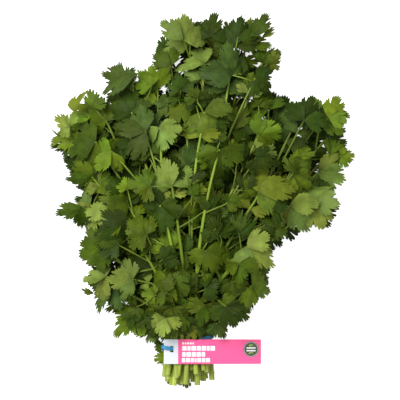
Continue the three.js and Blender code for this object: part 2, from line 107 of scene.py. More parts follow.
# Rows of the neck from the table up, and the stems of a row from left to right. A stem is its
# leaves, and the first one ends it. A leaf is (x, y, heading, size, tone): where its leaflets meet,
# the way it points in degrees clockwise from +Y, the length of its middle leaflet, and its colour
# where that isn't left to chance.
ROWS = (
    (
        ((-70, -42, -100, 21), (-40, -72, -130, 17)),
        ((-66, 22, -60, 22), (-56, -14, -80, 20), (-48, -44, -100, 18)),
        ((7, 113, 0, 22, "dark"), (-8, 40, -40, 20)),
        ((60, 60, 10, 20), (38, 30, 40, 21), (28, -16, 50, 18)),
        ((50, -10, 100, 20), (34, -46, 140, 17)),
    ),
    (
        ((-80, 64, -30, 21, "bright"), (-38, -2, -60, 18)),
        ((-52, 76, -20, 21), (-36, 44, -20, 20)),
        ((-24, 62, -20, 22), (-18, 20, -30, 20)),
        ((34, 115, 8, 26, "mid"), (26, 66, 20, 20)),
        ((93, 44, 50, 21), (74, 30, 150, 18)),
        ((96, 33, 80, 17, "bright"), (62, 4, 90, 18)),
    ),
    (
        ((-92, 50, -80, 22, "bright"), (-66, 4, -80, 20)),
        ((-71, 56, -50, 20, "mid"), (-48, 18, -50, 19)),
        ((-17, 94, -100, 18), (-20, 100, -50, 17)),
        ((-8, 117, -25, 29, "light"), (4, 76, 30, 20)),
        ((46, 101, 75, 18), (22, 52, 30, 20), (16, 6, 30, 18)),
        ((90, 60, 55, 25, "bright"), (80, 56, 10, 21)),
        ((87, 20, 130, 21, "light"), (62, -10, 110, 17)),
    ),
    (
        ((-36, -88, -110, 19), (-37, -97, -120, 13)),
        ((-82, -4, -105, 28, "light"), (-60, -34, -90, 16)),
        ((-77, 42, -110, 28, "mid"), (-50, -14, -70, 18)),
        ((-52, 81, -96, 26, "sheen"), (-32, 82, -50, 20, "bright")),
        ((3, 100, -10, 20, "light"), (-4, 54, -30, 19)),
        ((23, 93, 10, 28, "sheen"), (43, 90, 130, 18)),
        ((68, 53, -10, 27, "sheen"), (50, 66, -40, 19)),
        ((83, -3, 82, 23, "light"), (42, -32, 125, 15)),
    ),
    (
        ((-65, -64, -112, 22, "sheen"), (-50, -86, -130, 17)),
        ((-80, 16, -110, 20), (-66, -8, -80, 19, "light")),
        ((-51, 64, -10, 19), (-65, 35, -140, 18)),
        ((-14, 73, -150, 21), (-8, 24, 20, 20)),
        ((43, 47, 85, 19, "bright"), (40, 30, 110, 15)),
        ((68, 17, 110, 18), (66, -5, 150, 24, "light")),
        ((35, -60, 165, 27, "dark"), (20, -62, 120, 16)),
    ),
    (
        ((-73, -35, -100, 21, "mid"), (-70, -58, -100, 18)),
        ((-54, -1, -60, 20), (-40, -26, -40, 17)),
        ((-30, 53, 170, 20, "light"), (-40, 50, -90, 24)),
        ((3, 64, 145, 28, "olive"), (-8, -12, 30, 17)),
        ((43, 5, 80, 29, "olive"), (50, -20, 130, 16)),
        ((38, -64, 95, 20, "bright"), (12, -92, 155, 12)),
    ),
    (
        ((-54, -21, -130, 24, "dark"), (-50, -59, -90, 18, "light"), (-26, -88, -160, 16, "light")),
        ((-30, -5, 185, 21, "dark"), (-24, -58, 185, 20)),
        ((-21, 10, -20, 21, "light"), (-8, -64, -50, 13)),
        ((14, 36, 180, 26, "mid"), (4, -38, 170, 18), (3, -78, 180, 17, "mid")),
        ((34, -35, 130, 22, "light"), (28, -48, 160, 16), (20, -80, 160, 17)),
    ),
)

# ---- Random numbers and clearance --------------------------------------------------------------

WORD = 0xFFFFFFFF
STRIDE = 0x6D2B79F5
# What the random numbers of each kind start from: the times and the plus of their number.
SEEDS = {"end": (31, 0), "settle": (97, 5), "pairs": (7, 3), "offshoots": (13, 11), "finish": (53, 17),
         "leaflet": (41, 85)}
LEAF_SEED = 1009


def seeded(kind, number, more=0):
    """Seeded random numbers from 0 to 1, for a stem or a shape of that number."""
    times, plus = SEEDS[kind]
    state = (number * times + more + plus) & WORD

    def draw():
        nonlocal state
        state = (state + STRIDE) & WORD
        mixed = ((state ^ (state >> 15)) * (state | 1)) & WORD
        mixed = ((mixed + (mixed ^ (mixed >> 7)) * (mixed | 61)) ^ mixed) & WORD
        return (mixed ^ (mixed >> 14)) / (WORD + 1)

    return draw


def between(random, least, most):
    """Chance from the least to the most."""
    return least + (most - least) * random()


class Crowd:
    """Balls that stand for what is placed, each with the number of the stem it belongs to."""

    NOBODY = -1

    def __init__(self):
        self.balls = np.empty((0, 4))
        self.owners = np.empty(0, int)

    def add(self, balls, owner):
        self.balls = np.vstack([self.balls, balls])
        self.owners = np.append(self.owners, np.full(len(balls), owner))

    def is_clear(self, balls, owner, gap=CLEAR["gap"]):
        balls = np.asarray(balls)
        if not len(balls):
            return True
        reach = balls[:, 3].max() + self.balls[:, 3].max() + max(gap, 0)
        low = balls[:, :3].min(0) - reach
        high = balls[:, :3].max(0) + reach
        near = ((self.balls[:, :3] > low) & (self.balls[:, :3] < high)).all(1)
        near &= self.owners != owner
        others = self.balls[near]
        apart = ((balls[:, None, :3] - others[None, :, :3]) ** 2).sum(2)
        return not (apart < (balls[:, None, 3] + others[None, :, 3] + gap) ** 2).any()


def balls_along(points, radii):
    """Balls along a chain of points, with the radius running evenly from one point to the next."""
    balls = []
    for (start, end), (first, last) in zip(zip(points, points[1:]), zip(radii, radii[1:])):
        steps = math.ceil(math.dist(start, end) / CLEAR["step"])
        for step in range(steps):
            t = step / steps
            balls.append((*(start + (end - start) * t), first + (last - first) * t))
    return balls


# ---- Stems and stalks --------------------------------------------------------------------------


class Stem:
    """One leafy stem: its place in the neck, its plan and, once settled, its leaves."""

    def __init__(self, number, row, column, plan):
        self.number = number
        self.row = row
        self.x = NECK["x"] + (column - (len(ROWS[row]) - 1) / 2) * NECK["pitch_x"]
        self.z = NECK["low"] + row * NECK["pitch_z"]
        self.end = NECK["end"] + (seeded("end", number)() - 0.5) * 2 * NECK["spread"]
        self.plan = plan
        self.leaves = []
        self.tip = None
        self.heading = 0.0

    @property
    def node(self):
        return f"leafy_stem_{self.number:02d}"

    @property
    def run(self):
        """How far the stem runs from the neck, in plan."""
        x, y = self.plan[0][:2]
        return math.hypot(x - self.x, y - NECK["exit"])

    def point(self, t):
        """A point beyond the neck, at t from 0 at the neck to 1 at the tip."""
        tip = self.tip
        run = math.hypot(tip[0] - self.x, tip[1] - NECK["exit"])
        radial = math.atan2(tip[0] - self.x, tip[1] - NECK["exit"])
        swing = math.atan2(math.sin(self.heading - radial), math.cos(self.heading - radial))
        arrival = radial + min(max(swing * SWEEP["turn"], -SWEEP["most"]), SWEEP["most"])
        a = 3 * t * (1 - t) ** 2
        b = 3 * t * t * (1 - t)
        c = t**3
        pull = run * SWEEP["straight"]
        x = self.x * ((1 - t) ** 3 + a) + (tip[0] - math.sin(arrival) * pull) * b + tip[0] * c
        y = (NECK["exit"] * (1 - t) ** 3 + (NECK["exit"] + pull) * a
             + (tip[1] - math.cos(arrival) * pull) * b + tip[1] * c)
        rise = 1 - (1 - min(t * run / HEAP["rise_run"], 1)) ** 2
        rising = self.z + (loft(self.row, x, y) - self.z) * rise
        end = tip[2] - loft(self.row, tip[0], tip[1])
        return np.array((x, y, rising + end * c))

    def chain(self, leaf_frame):
        """Points and radii from the cut end to the joint of the last leaf."""
        points = [np.array((self.x, self.end, self.z))]
        radii = [STEM_RADIUS["cut"]]
        for step in range(STEM_STEPS):
            t = (step / STEM_STEPS) ** STEM_CROWD
            points.append(self.point(t))
            radii.append(STEM_RADIUS["neck"] + (STEM_RADIUS["tip"] - STEM_RADIUS["neck"]) * t)
        points += collar_points(points[-1], leaf_frame)
        radii += [STEM_RADIUS["tip"]] * 2
        return points, radii

    def stalk_chain(self, leaf_frame):
        """Points and radii of a leaf stalk, which leaves the stem forwards and bends over."""
        joint = leaf_frame.joint
        slot = np.array((self.x, NECK["exit"], self.z))
        share = math.dist(joint, slot) / math.dist(self.tip, slot)
        t = min(BRANCH["furthest"], max(BRANCH["nearest"], share * BRANCH["share"]))
        root = self.point(t)
        ahead = self.point(t + BRANCH["ahead"])
        along = math.dist(root, joint) * BRANCH["along"] / max(math.dist(root, ahead), 0.01)
        bend = root + (ahead - root) * along
        points = []
        radii = []
        for step in range(STALK_STEPS):
            s = step / STALK_STEPS
            start = root + (bend - root) * s
            end = bend + (joint - bend) * s
            points.append(start + (end - start) * s)
            radii.append(STALK_RADIUS["root"] + (STALK_RADIUS["tip"] - STALK_RADIUS["root"]) * s)
        points += collar_points(points[-1], leaf_frame)
        radii += [STALK_RADIUS["tip"]] * 2
        return points, radii


def loft(row, x, y):
    """Height of a row of stems above the table at a place in the heap."""
    reach = ((x - HEAP["x"]) / HEAP["half_width"]) ** 2 + ((y - HEAP["y"]) / HEAP["half_length"]) ** 2
    depth = HEAP["rim"] + HEAP["rise"] * math.sqrt(max(0, 1 - reach))
    return HEAP["floor"] + depth * (row + 0.5) / len(ROWS)


def collar_points(start, leaf_frame):
    """The last two points of a chain that comes from start to the joint of a leaf, from below it."""
    way = leaf_frame.joint - start
    short = COLLAR["short"] / max(np.linalg.norm(way), COLLAR["short"])
    bend = leaf_frame.joint - way * short - leaf_frame.up * COLLAR["below"]
    bend[2] = max(bend[2], COLLAR["lowest"])
    return [bend, leaf_frame.joint]


# ---- Leaves ------------------------------------------------------------------------------------


class LeafFrame:
    """The joint of a leaf, the way along its rib, to its right and up from its face."""

    def __init__(self, joint, heading, pitch, roll, size):
        ahead = np.array((
            math.sin(heading) * math.cos(pitch), math.cos(heading) * math.cos(pitch), math.sin(pitch)))
        level = np.array((math.cos(heading), -math.sin(heading), 0.0))
        above = np.cross(level, ahead)
        self.joint = np.asarray(joint, float)
        self.ahead = ahead
        self.right = level * math.cos(roll) + above * math.sin(roll)
        self.up = above * math.cos(roll) - level * math.sin(roll)
        self.size = size

    def place(self, u, v):
        """A point of the arched blade, u ahead of the joint and v to its right."""
        drop = -BLADE["arch"] * (u * u * BLADE["arch_ahead"] + v * v) / self.size
        point = self.joint + self.ahead * u + self.right * v + self.up * drop
        point[2] = max(point[2], BLADE["floor"])
        return point


def leaflet_place(size, which, along, side=0):
    """A place on a leaflet as u and v of its leaf; which is -1, 0 or 1 from left to right."""
    turn = math.radians(which * LEAFLET_TURN)
    length = size * (1 if which == 0 else SIDE_LEAFLET)
    return (length * (along * math.cos(turn) - side * math.sin(turn)),
            length * (along * math.sin(turn) + side * math.cos(turn)))


ALL = (-1, 0, 1)
BLADE_SAMPLES = (
    (0.22, 0), (0.42, -0.2), (0.42, 0.2), (0.45, 0), (0.62, -0.4), (0.62, 0.4), (0.62, -0.2), (0.62, 0.2),
    (0.66, 0), (0.75, -0.32), (0.75, 0.32), (0.84, 0), (0.8, -0.14), (0.8, 0.14), (0.96, 0), (0.44, 0.34),
    (0.44, -0.34),
)


def blade_balls(leaf_frame, radius=CLEAR["blade"], samples=BLADE_SAMPLES, sides=ALL):
    """Balls that stand for a leaf: one at its joint and some on each leaflet."""
    balls = [(*leaf_frame.joint, radius)]
    for which in sides:
        for along, side in samples:
            u, v = leaflet_place(leaf_frame.size, which, along, side)
            balls.append((*leaf_frame.place(u, v), radius))
    return balls


def hangs_free(leaf_balls, stalk_balls, joint):
    """Whether a blade stays off its own stalk, but for the stretch next to the joint."""
    leaf = np.array(leaf_balls)
    stalk = np.array(stalk_balls)
    if not len(stalk):
        return True
    stalk = stalk[np.linalg.norm(stalk[:, :3] - joint, axis=1) >= CLEAR["joint"]]
    apart = np.linalg.norm(stalk[:, None, :3] - leaf[None, :, :3], axis=2)
    return bool((apart > stalk[:, None, 3] + CLEAR["own_blade"]).all())


def settle_leaf(stem, number, crowd):
    """Try turned, tipped and lifted places until a leaf and its stalk are clear of the others."""
    x, y, heading, size = stem.plan[number][:4]
    random = seeded("settle", stem.number, number * LEAF_SEED)
    for attempt in range(SEARCH["tries"]):
        calm = 1 - attempt / SEARCH["tries"]
        turn = heading + (random() - 0.5) * 2 * SEARCH["turn"]
        pitch = (random() - SEARCH["droop"]) * 2 * SEARCH["pitch"] * calm
        roll = (random() - 0.5) * 2 * SEARCH["roll"] * calm
        lift = (random() - 0.5) * 2 * (SEARCH["lift"] + attempt * SEARCH["lift_growth"])
        east = x + (random() - 0.5) * 2 * attempt * SEARCH["drift"]
        north = y + (random() - 0.5) * 2 * attempt * SEARCH["drift"]
        joint = np.array((east, north, max(loft(stem.row, east, north) + lift, BLADE["lowest_joint"])))
        leaf_frame = LeafFrame(joint, math.radians(turn), math.radians(pitch), math.radians(roll), size)
        if number == 0:
            stem.tip = joint
            stem.heading = math.radians(heading)
            points, radii = stem.chain(leaf_frame)
        else:
            points, radii = stem.stalk_chain(leaf_frame)
        first = 1 if number == 0 else 0
        stalk_balls = balls_along(points[first:], radii[first:])
        leaf_balls = blade_balls(leaf_frame)
        if (crowd.is_clear(stalk_balls, stem.number) and crowd.is_clear(leaf_balls, Crowd.NOBODY)
                and hangs_free(leaf_balls, stalk_balls, joint)):
            crowd.add(stalk_balls + leaf_balls, stem.number)
            return leaf_frame, points, radii
    raise RuntimeError(f"stem {stem.number} has no clear place for its leaf {number}")


# ---- The band's path ---------------------------------------------------------------------------


class SmoothLoop:
    """A closed curve through points, read at even steps of its length."""

    DIVISIONS = 200

    def __init__(self, points):
        self.points = [np.array(point, float) for point in points]
        parts = [self.at(n / self.DIVISIONS) for n in range(self.DIVISIONS + 1)]
        steps = [math.dist(a, b) for a, b in zip(parts, parts[1:])]
        self.lengths = np.concatenate([[0], np.cumsum(steps)])

    def at(self, t):
        count = len(self.points)
        whole = math.floor(count * t)
        weight = count * t - whole
        p0, p1, p2, p3 = (self.points[(whole + n) % count] for n in (-1, 0, 1, 2))
        d0, d1, d2 = (math.dist(a, b) ** 0.5 for a, b in ((p0, p1), (p1, p2), (p2, p3)))
        start = ((p1 - p0) / d0 - (p2 - p0) / (d0 + d1) + (p2 - p1) / d1) * d1
        end = ((p2 - p1) / d1 - (p3 - p1) / (d1 + d2) + (p3 - p2) / d2) * d1
        return (p1 + start * weight + (-3 * p1 + 3 * p2 - 2 * start - end) * weight**2
                + (2 * p1 - 2 * p2 + start + end) * weight**3)

    def spaced(self, segments):
        """Points at even steps of the length, the first one again at the end."""
        wanted = np.arange(segments + 1) / segments * self.lengths[-1]
        shares = np.interp(wanted, self.lengths, np.arange(self.DIVISIONS + 1) / self.DIVISIONS)
        return [self.at(share) for share in shares]


# The band's way in millimetres: places under the card, degrees round the neck, and places over the
# card's end as (x from that end or from the slit's, height above the card's underside).
UNDER_CARD = {"start": 0.1, "down": 1, "places": (-16, -8, 0)}
ROUND_NECK = (58, 45, 20, 0, -20, -45, -70, -80, -90, -100, -110, -135, -160, -180, -200)
OVER_END = ((-1.4, -0.8), (-0.7, 1.45))
OVER_SLIT = ((-1.6, 1.65), (0, 1.5))


def band_loop():
    """The middle line of the band: round the neck, and through the slit of the tag."""
    middle = BAND["thickness"] / 2 + BAND["half_height"] - BAND["sink"]
    points = []

    def over_top(x, z):
        off = max(x - SLIT["x"], (SLIT["x"] - x) * BAND_WAY["back"])
        points.append((x, BAND_WAY["slit_y"] + BAND_WAY["top_slope"] * off, z))

    under = TAG["z"] - UNDER_CARD["down"]
    over_top(SLIT["x"] + SLIT["width"] / 2 - UNDER_CARD["start"], under + UNDER_CARD["start"])
    for x in UNDER_CARD["places"]:
        over_top(x, under)
    for degrees in ROUND_NECK:
        c, s = math.cos(math.radians(degrees)), math.sin(math.radians(degrees))
        x = NECK["x"] + BAND["half_width"] * math.copysign(abs(c) ** (2 / BAND["corner"]), c)
        z = middle + BAND["half_height"] * math.copysign(abs(s) ** (2 / BAND["corner"]), s)
        y = BAND_WAY["y"] + BAND_WAY["slope"] * (x - NECK["x"])
        points.append((x, y, max(z, BAND["thickness"] / 2)))
    for end, places in ((TAG["left"], OVER_END), (SLIT["x"] - SLIT["width"] / 2, OVER_SLIT)):
        for x, z in places:
            over_top(end + x, TAG["z"] + z)
    return SmoothLoop(points)


def tie_balls():
    """Balls that keep the leaves off the tag and the band."""
    ball = CLEAR["ball"]
    balls = []
    x = TAG["left"]
    while x <= TAG["left"] + TAG["length"]:
        y = TAG["y"] - TAG["width"] / 2
        while y <= TAG["y"] + TAG["width"] / 2:
            balls.append((x, y, TAG["z"] + TAG["thickness"] / 2, ball))
            y += ball * 2
        x += ball * 2
    for point in band_loop().spaced(BAND["segments"]):
        balls.append((*point, ball))
    return balls


def lay_out():
    """Every stem with its leaves, the longest stems settled first, and the crowd they make."""
    crowd = Crowd()
    crowd.add(tie_balls(), 0)
    stems = []
    for row, plans in enumerate(ROWS):
        for column, plan in enumerate(plans):
            stems.append(Stem(len(stems) + 1, row, column, plan))
    longest = sorted(stems, key=lambda stem: -stem.run)
    for number in range(max(len(stem.plan) for stem in stems)):
        for stem in longest:
            if number < len(stem.plan):
                stem.leaves.append(settle_leaf(stem, number, crowd))
    return stems, crowd


# ---- Leaves beyond the plan --------------------------------------------------------------------

# Each kind of small leaf: how often a place for it is tried, where on its stem it starts, how far and
# in which spread of directions (radians) it reaches, how it tips and rolls, its size, and then the
# rules of that kind alone.
# In FILL, dark is the share of filling leaves that take the dark green, as painted shade under the planned
# leaves.
FILL = {"tries": 16, "first": 0.2, "span": 0.75, "nearest": 7.0, "furthest": 28.0, "spread": 2.6,
        "droop": 0.6, "pitch": 1.0, "roll": 1.3, "smallest": 9.0, "largest": 18.0,
        "sink": 0.35, "rise": 24.0, "above_neck": 2.0, "dark": 0.5}
CROWN = {"tries": 16, "first": 0.3, "span": 0.65, "nearest": 5.0, "furthest": 24.0, "spread": 2.8,
         "droop": 0.6, "pitch": 0.9, "roll": 1.3, "smallest": 9.5, "largest": 15.5,
         "first_row": 2, "each": 6, "over": 3.5, "highest": 62.0, "climb": 24.0}
# The ground leaves lie on the table between the stems and are all dark green, as painted shade deep in the
# bunch.
GROUND = {"tries": 12, "first": 0.05, "span": 0.8, "nearest": 4.0, "furthest": 20.0, "spread": 3.4,
          "pitch": 0.15, "roll": 0.4, "smallest": 12.0, "largest": 18.0,
          "rows": 4, "each": 9, "rise": 5.0, "off_neck": 0.6}
# A second pair of leaflets: its size and distance as shares of its leaf, and its turns in degrees.
PAIR = {"smallest": 0.56, "largest": 0.74, "nearest": 0.42, "furthest": 0.66, "turn": 8, "roll": 30,
        "pitch": 0.5, "blade": 0.7, "overlap": -0.5}
# The stalk of a small leaf: its radii, how far it arches, and from how far behind the joint of an
# outer leaf it comes, as a share of the leaf.
SHORT_STALK = {"radii": (0.6, 0.55, 0.5, 0.45), "rise": 1.5, "behind": 0.7}
# The balls of a small leaf: their places on a leaflet, their radius, and how far they and those of
# its stalk may reach into others.
FILL_SAMPLES = ((0.3, 0), (0.6, -0.3), (0.6, 0.3), (0.65, 0), (0.95, 0))
FILL_BLADE = 0.8
OVERLAP = {"stalk": -0.3, "blade": -0.4}
# The ellipse in plan where the stems show between the leaves.
CLEARING = {"x": -20.0, "y": -28.0, "half_width": 20.0, "half_length": 27.0}

# Single leaves at the rim of the bunch, over its ties and by its cut ends, as (stem, x, y, z,
# heading, pitch, roll, size, tone, leaflets): the stem that carries it, where its leaflets meet, its
# turns in degrees, the length of its middle leaflet, its colour, and which leaflets it has.
OUTER_LEAVES = (
    (15, -13, 118, 35, -52, 4, 8, 22, "light", (0,)),
    (5, 33, 14, 5, 50, 5, 0, 14, "dark", ALL),
    (5, 38, -24, 5, 30, 5, 0, 13, "dark", ALL),
    (24, 26, 113, 22, -6, 0, 10, 20, "dark", ALL),
    (3, 8, 121, 24, 8, 0, 8, 19, "dark", ALL),
    (15, -12, 117, 34, 6, 5, 0, 21, "light", (0, 1)),
    (24, 28, 120, 24, 12, 0, -10, 16, "dark", (0, 1)),
    (9, 42, 121, 26, 14, 5, 10, 17, "dark", (-1, 0)),
    (12, -97, 54, 26, -62, 5, 10, 13, "light", ALL),
    (9, 45.5, 120, 18, 38, 10, 62, 12, "light", (0,)),
    (9, 44, 124, 14, 10, 0, 74, 14, "mid", (0,)),
    (22, -36, 84, 34, -10, -10, 10, 17, "bright", (0, -1)),
    (22, -47, 93, 36, -99, 0, -50, 32, "sheen", (0,)),
    (22, -50, 87, 33, -80, 0, 30, 25, "sheen", (0,)),
    (13, -80, 68, 28, -14, 0, 15, 14, "mid", (0, 1)),
    (6, -92, 64, 22, -4, 0, 55, 17, "olive", (0,)),
    (12, -102, 45, 20, -80, 0, 60, 12, "mid", (0,)),
    (20, -87, -6, 32, -106, 0, 20, 22, "mid", (0, -1)),
    (27, -79, -70, 24, -95, 0, 35, 10, "mid", (0,)),
    (27, -60, -76, 20, -125, -5, 10, 14, "mid", ALL),
    (17, 95, 60, 32, 22, 5, 10, 18, "bright", (0, 1)),
    (10, 66, 28, 8, 60, 5, 0, 17, "dark", ALL),
    (10, 78, 40, 8, 100, 5, 0, 16, "dark", ALL),
    (2, -76, -2, 6, -60, 5, 0, 14, "dark", ALL),
    (11, 105, 32, 14, 76, 0, 15, 11, "bright", ALL),
    (39, 27, -81, 34, 128, -10, 20, 13, "mid", ALL),
    (44, 18, -84, 30, 150, -10, 0, 12, "dark", ALL),
    (42, -14, -86, 42, 172, -10, 0, 13, "mid", ALL),
    (41, -22, -80, 46, 196, -15, 10, 14, "olive", ALL),
    (43, -3, -88, 43, 160, -15, -10, 13, "dark", ALL),
    (37, -8, -76, 50, 185, -5, 15, 13, "mid", ALL),
    (40, -30, -88, 38, 205, -15, 0, 13, "mid", ALL),
    (44, 9, -80, 46, 150, -10, -15, 13, "mid", ALL),
    (41, -20, -92, 36, 190, -12, 8, 12, "mid", ALL),
    (43, -7, -93, 37, 168, -12, -5, 12, "olive", ALL),
    (38, -14, -89, 38, 178, -14, 12, 11, "dark", ALL),
    (44, 5, -91, 36, 158, -12, 5, 12, "mid", ALL),
    (35, 13, -94, 28, 140, -8, 10, 12, "mid", ALL),
    (35, 7, -96, 33, 170, -12, 0, 9, "dark", ALL),
    (44, 0, -95, 36, 178, -12, 8, 8.5, "mid", ALL),
    (40, -12, -95, 37, 186, -12, -8, 8.5, "dark", ALL),
    (19, -30, -97, 27, -135, -10, 15, 13, "bright", ALL),
    (19, -29, -107, 18, -150, -20, 10, 9, "mid", ALL),
    (19, -27, -118, 14, -112, -5, 10, 9, "bright", ALL),
    (1, -21.5, -132, 5, -150, 0, 20, 8, "bright", (0, -1)),
    (3, -11, -135, 8, 165, 0, 10, 7, "mid", (0, 1)),
)


class Leaf:
    """A compound leaf: its frame, the stalk that carries it, its colour and its leaflets."""

    def __init__(self, leaf_frame, points, radii, tone=None, sides=ALL):
        self.frame = leaf_frame
        self.points = points
        self.radii = radii
        self.tone = tone
        self.sides = sides


class Outline:
    """Discs in plan that the planned leaves and the stems cover, with the height of each."""

    # The discs, as shares of a leaf's size and in millimetres.
    LEAF_DISC = 0.46
    SHOWN_DISC = 0.4
    STEM_DISC = 8.0
    # Places on the rib of a leaflet, as shares of its length.
    DISC_PLACE = 0.55
    TIP = 0.9
    UPPER_PART = 0.6
    MIDDLE = 0.5
    # How far a hidden leaf stays below the planned ones, in millimetres.
    UNDER_GAP = 1

    def __init__(self, stems):
        leaves = []
        shown = []
        spots = []
        for stem in stems:
            for leaf in stem.leaves:
                size = leaf.frame.size
                places = [leaf.frame.joint]
                places += [self.on_rib(leaf.frame, which, self.DISC_PLACE) for which in ALL]
                leaves += [(*place, size * self.LEAF_DISC) for place in places]
                if leaf.tone:
                    shown += [(*place[:2], size * self.SHOWN_DISC) for place in places]
            path = rounded(stem.leaves[0].points, stem.leaves[0].radii)
            spots += [(*point[:3], self.STEM_DISC) for point in path if point[1] > NECK["exit"]]
        self.leaves = np.array(leaves)
        self.shown = np.array(shown)
        self.discs = np.array(leaves + spots)

    @staticmethod
    def on_rib(leaf_frame, which, along):
        """A place on the rib of a leaflet."""
        return leaf_frame.place(*leaflet_place(leaf_frame.size, which, along))

    def holds(self, leaf_frame, sides=ALL):
        """Whether the tips of all leaflets of a leaf lie in the outline."""
        for which in sides:
            tip = self.on_rib(leaf_frame, which, self.TIP)[:2]
            if not (np.linalg.norm(self.discs[:, :2] - tip, axis=1) < self.discs[:, 3]).any():
                return False
        return True

    def heights_at(self, point):
        """Heights of the planned leaves at a place in plan."""
        near = np.linalg.norm(self.leaves[:, :2] - point[:2], axis=1) < self.leaves[:, 3]
        return self.leaves[near, 2]

    def top(self, point):
        """Height of the highest planned leaf at a place in plan."""
        return max(self.heights_at(point), default=point[2])

    def is_open(self, leaf_frame):
        """Whether a leaf would hide no leaf of a planned tone and none of the stems in the clearing."""
        for which in ALL:
            x, y = self.on_rib(leaf_frame, which, self.UPPER_PART)[:2]
            if (np.hypot(self.shown[:, 0] - x, self.shown[:, 1] - y) < self.shown[:, 2]).any():
                return False
            off = math.hypot((x - CLEARING["x"]) / CLEARING["half_width"],
                             (y - CLEARING["y"]) / CLEARING["half_length"])
            if off < 1:
                return False
        return True

    def is_under(self, leaf_frame):
        """Whether a leaf stays lower than the planned leaves that it meets in plan."""
        for which in ALL:
            middle = self.on_rib(leaf_frame, which, self.MIDDLE)
            if middle[2] > max(self.heights_at(middle), default=math.inf) - self.UNDER_GAP:
                return False
        return True


def rounded(points, radii, times=2, share=0.25):
    """A chain with its corners cut, so that it bends smoothly; its ends stay where they are."""
    path = np.column_stack([np.array(points, float), radii])
    for _ in range(times):
        cut = [path[0]]
        for start, end in zip(path, path[1:]):
            cut += [start * (1 - share) + end * share, start * share + end * (1 - share)]
        path = np.array(cut + [path[-1]])
    return path


def nearest_on(path, point):
    """The path point that is nearest to a place, by its index."""
    return int(np.argmin(np.linalg.norm(path[:, :3] - point, axis=1)))


def short_stalk(root, leaf_frame, rise=0):
    """Points and radii of a thin stalk from a stem to the joint of a small leaf."""
    middle = root + (leaf_frame.joint - root) * 0.5 + (0, 0, rise)
    return [root, middle] + collar_points(middle, leaf_frame), SHORT_STALK["radii"]


def pair_leaf(stem, number, crowd, outline, random):
    """A second pair of leaflets, further down the stalk of a planned leaf, where there is room."""
    leaf = stem.leaves[number]
    sides = (-1, 1)
    path = rounded(leaf.points, leaf.radii)
    size = leaf.frame.size * between(random, PAIR["smallest"], PAIR["largest"])
    back = leaf.frame.size * between(random, PAIR["nearest"], PAIR["furthest"])
    turn = math.radians(PAIR["turn"] * (random() - 0.5))
    roll = math.radians(PAIR["roll"] * (random() - 0.5))
    apart = np.linalg.norm(path[:, :3] - leaf.frame.joint, axis=1)
    place = int(np.argmin(np.abs(apart - back)))
    way = path[min(place + 1, len(path) - 1), :3] - path[max(place - 1, 0), :3]
    way = way / np.linalg.norm(way)
    heading = math.atan2(way[0], way[1]) + turn
    leaf_frame = LeafFrame(path[place, :3], heading, math.asin(way[2]) * PAIR["pitch"], roll, size)
    balls = blade_balls(leaf_frame, PAIR["blade"], FILL_SAMPLES, sides)[1:]
    if not (outline.holds(leaf_frame, sides) and crowd.is_clear(balls, Crowd.NOBODY, PAIR["overlap"])):
        return None
    crowd.add(balls, stem.number)
    return Leaf(leaf_frame, [], [], leaf.tone, sides)


def offshoot(path, rule, random):
    """Where a small leaf leaves its stem, the way it points, and its joint at the stem's height."""
    start = int((rule["first"] + rule["span"] * random()) * (len(path) - 2))
    root = path[start, :3]
    way = path[start + 1, :3] - root
    heading = math.atan2(way[0], way[1]) + (random() - 0.5) * rule["spread"]
    reach = between(random, rule["nearest"], rule["furthest"])
    return root, heading, root + np.array((math.sin(heading), math.cos(heading), 0)) * reach


def tipped_frame(joint, heading, rule, random, size):
    """The frame of a small leaf, tipped and rolled by chance."""
    pitch = (random() - rule["droop"]) * rule["pitch"]
    return LeafFrame(joint, heading, pitch, (random() - 0.5) * rule["roll"], size)


def where_clear(stem, root, leaf_frame, crowd):
    """A small leaf on a short stalk, once it is clear of the crowd, which it then joins."""
    points, radii = short_stalk(root, leaf_frame, SHORT_STALK["rise"])
    stalk_balls = balls_along(points, radii)
    balls = blade_balls(leaf_frame, FILL_BLADE, FILL_SAMPLES)
    if not (crowd.is_clear(stalk_balls, stem.number, OVERLAP["stalk"])
            and crowd.is_clear(balls, Crowd.NOBODY, OVERLAP["blade"])):
        return None
    crowd.add(stalk_balls + balls, stem.number)
    return Leaf(leaf_frame, points, radii)


def fill_leaf(stem, path, crowd, outline, random):
    """A small leaf on a stalk of its own, in a gap between the planned leaves."""
    for _ in range(FILL["tries"]):
        root, heading, joint = offshoot(path, FILL, random)
        size = between(random, FILL["smallest"], FILL["largest"])
        highest = loft(len(ROWS) - 1, joint[0], joint[1])
        joint[2] = min(root[2] + (random() - FILL["sink"]) * FILL["rise"], highest)
        joint[2] = max(joint[2], BLADE["lowest_joint"])
        leaf_frame = tipped_frame(joint, heading, FILL, random, size)
        if joint[1] < NECK["exit"] + FILL["above_neck"]:
            continue
        if not (outline.holds(leaf_frame) and outline.is_under(leaf_frame)):
            continue
        leaf = where_clear(stem, root, leaf_frame, crowd)
        if leaf:
            # A filling leaf is often dark green: painted shade under the planned leaves.
            leaf.tone = "dark" if random() < FILL["dark"] else None
            return leaf
    return None


def crown_leaf(stem, path, crowd, outline, random):
    """A small leaf on a stalk of its own that shows above the planned leaves."""
    for _ in range(CROWN["tries"]):
        root, heading, joint = offshoot(path, CROWN, random)
        size = between(random, CROWN["smallest"], CROWN["largest"])
        joint[2] = outline.top(joint) + CROWN["over"] * (0.5 + random())
        leaf_frame = tipped_frame(joint, heading, CROWN, random, size)
        if joint[2] > min(CROWN["highest"], root[2] + CROWN["climb"]) or joint[1] < NECK["exit"] + size:
            continue
        if not (outline.holds(leaf_frame) and outline.is_open(leaf_frame)):
            continue
        leaf = where_clear(stem, root, leaf_frame, crowd)
        if leaf:
            return leaf
    return None


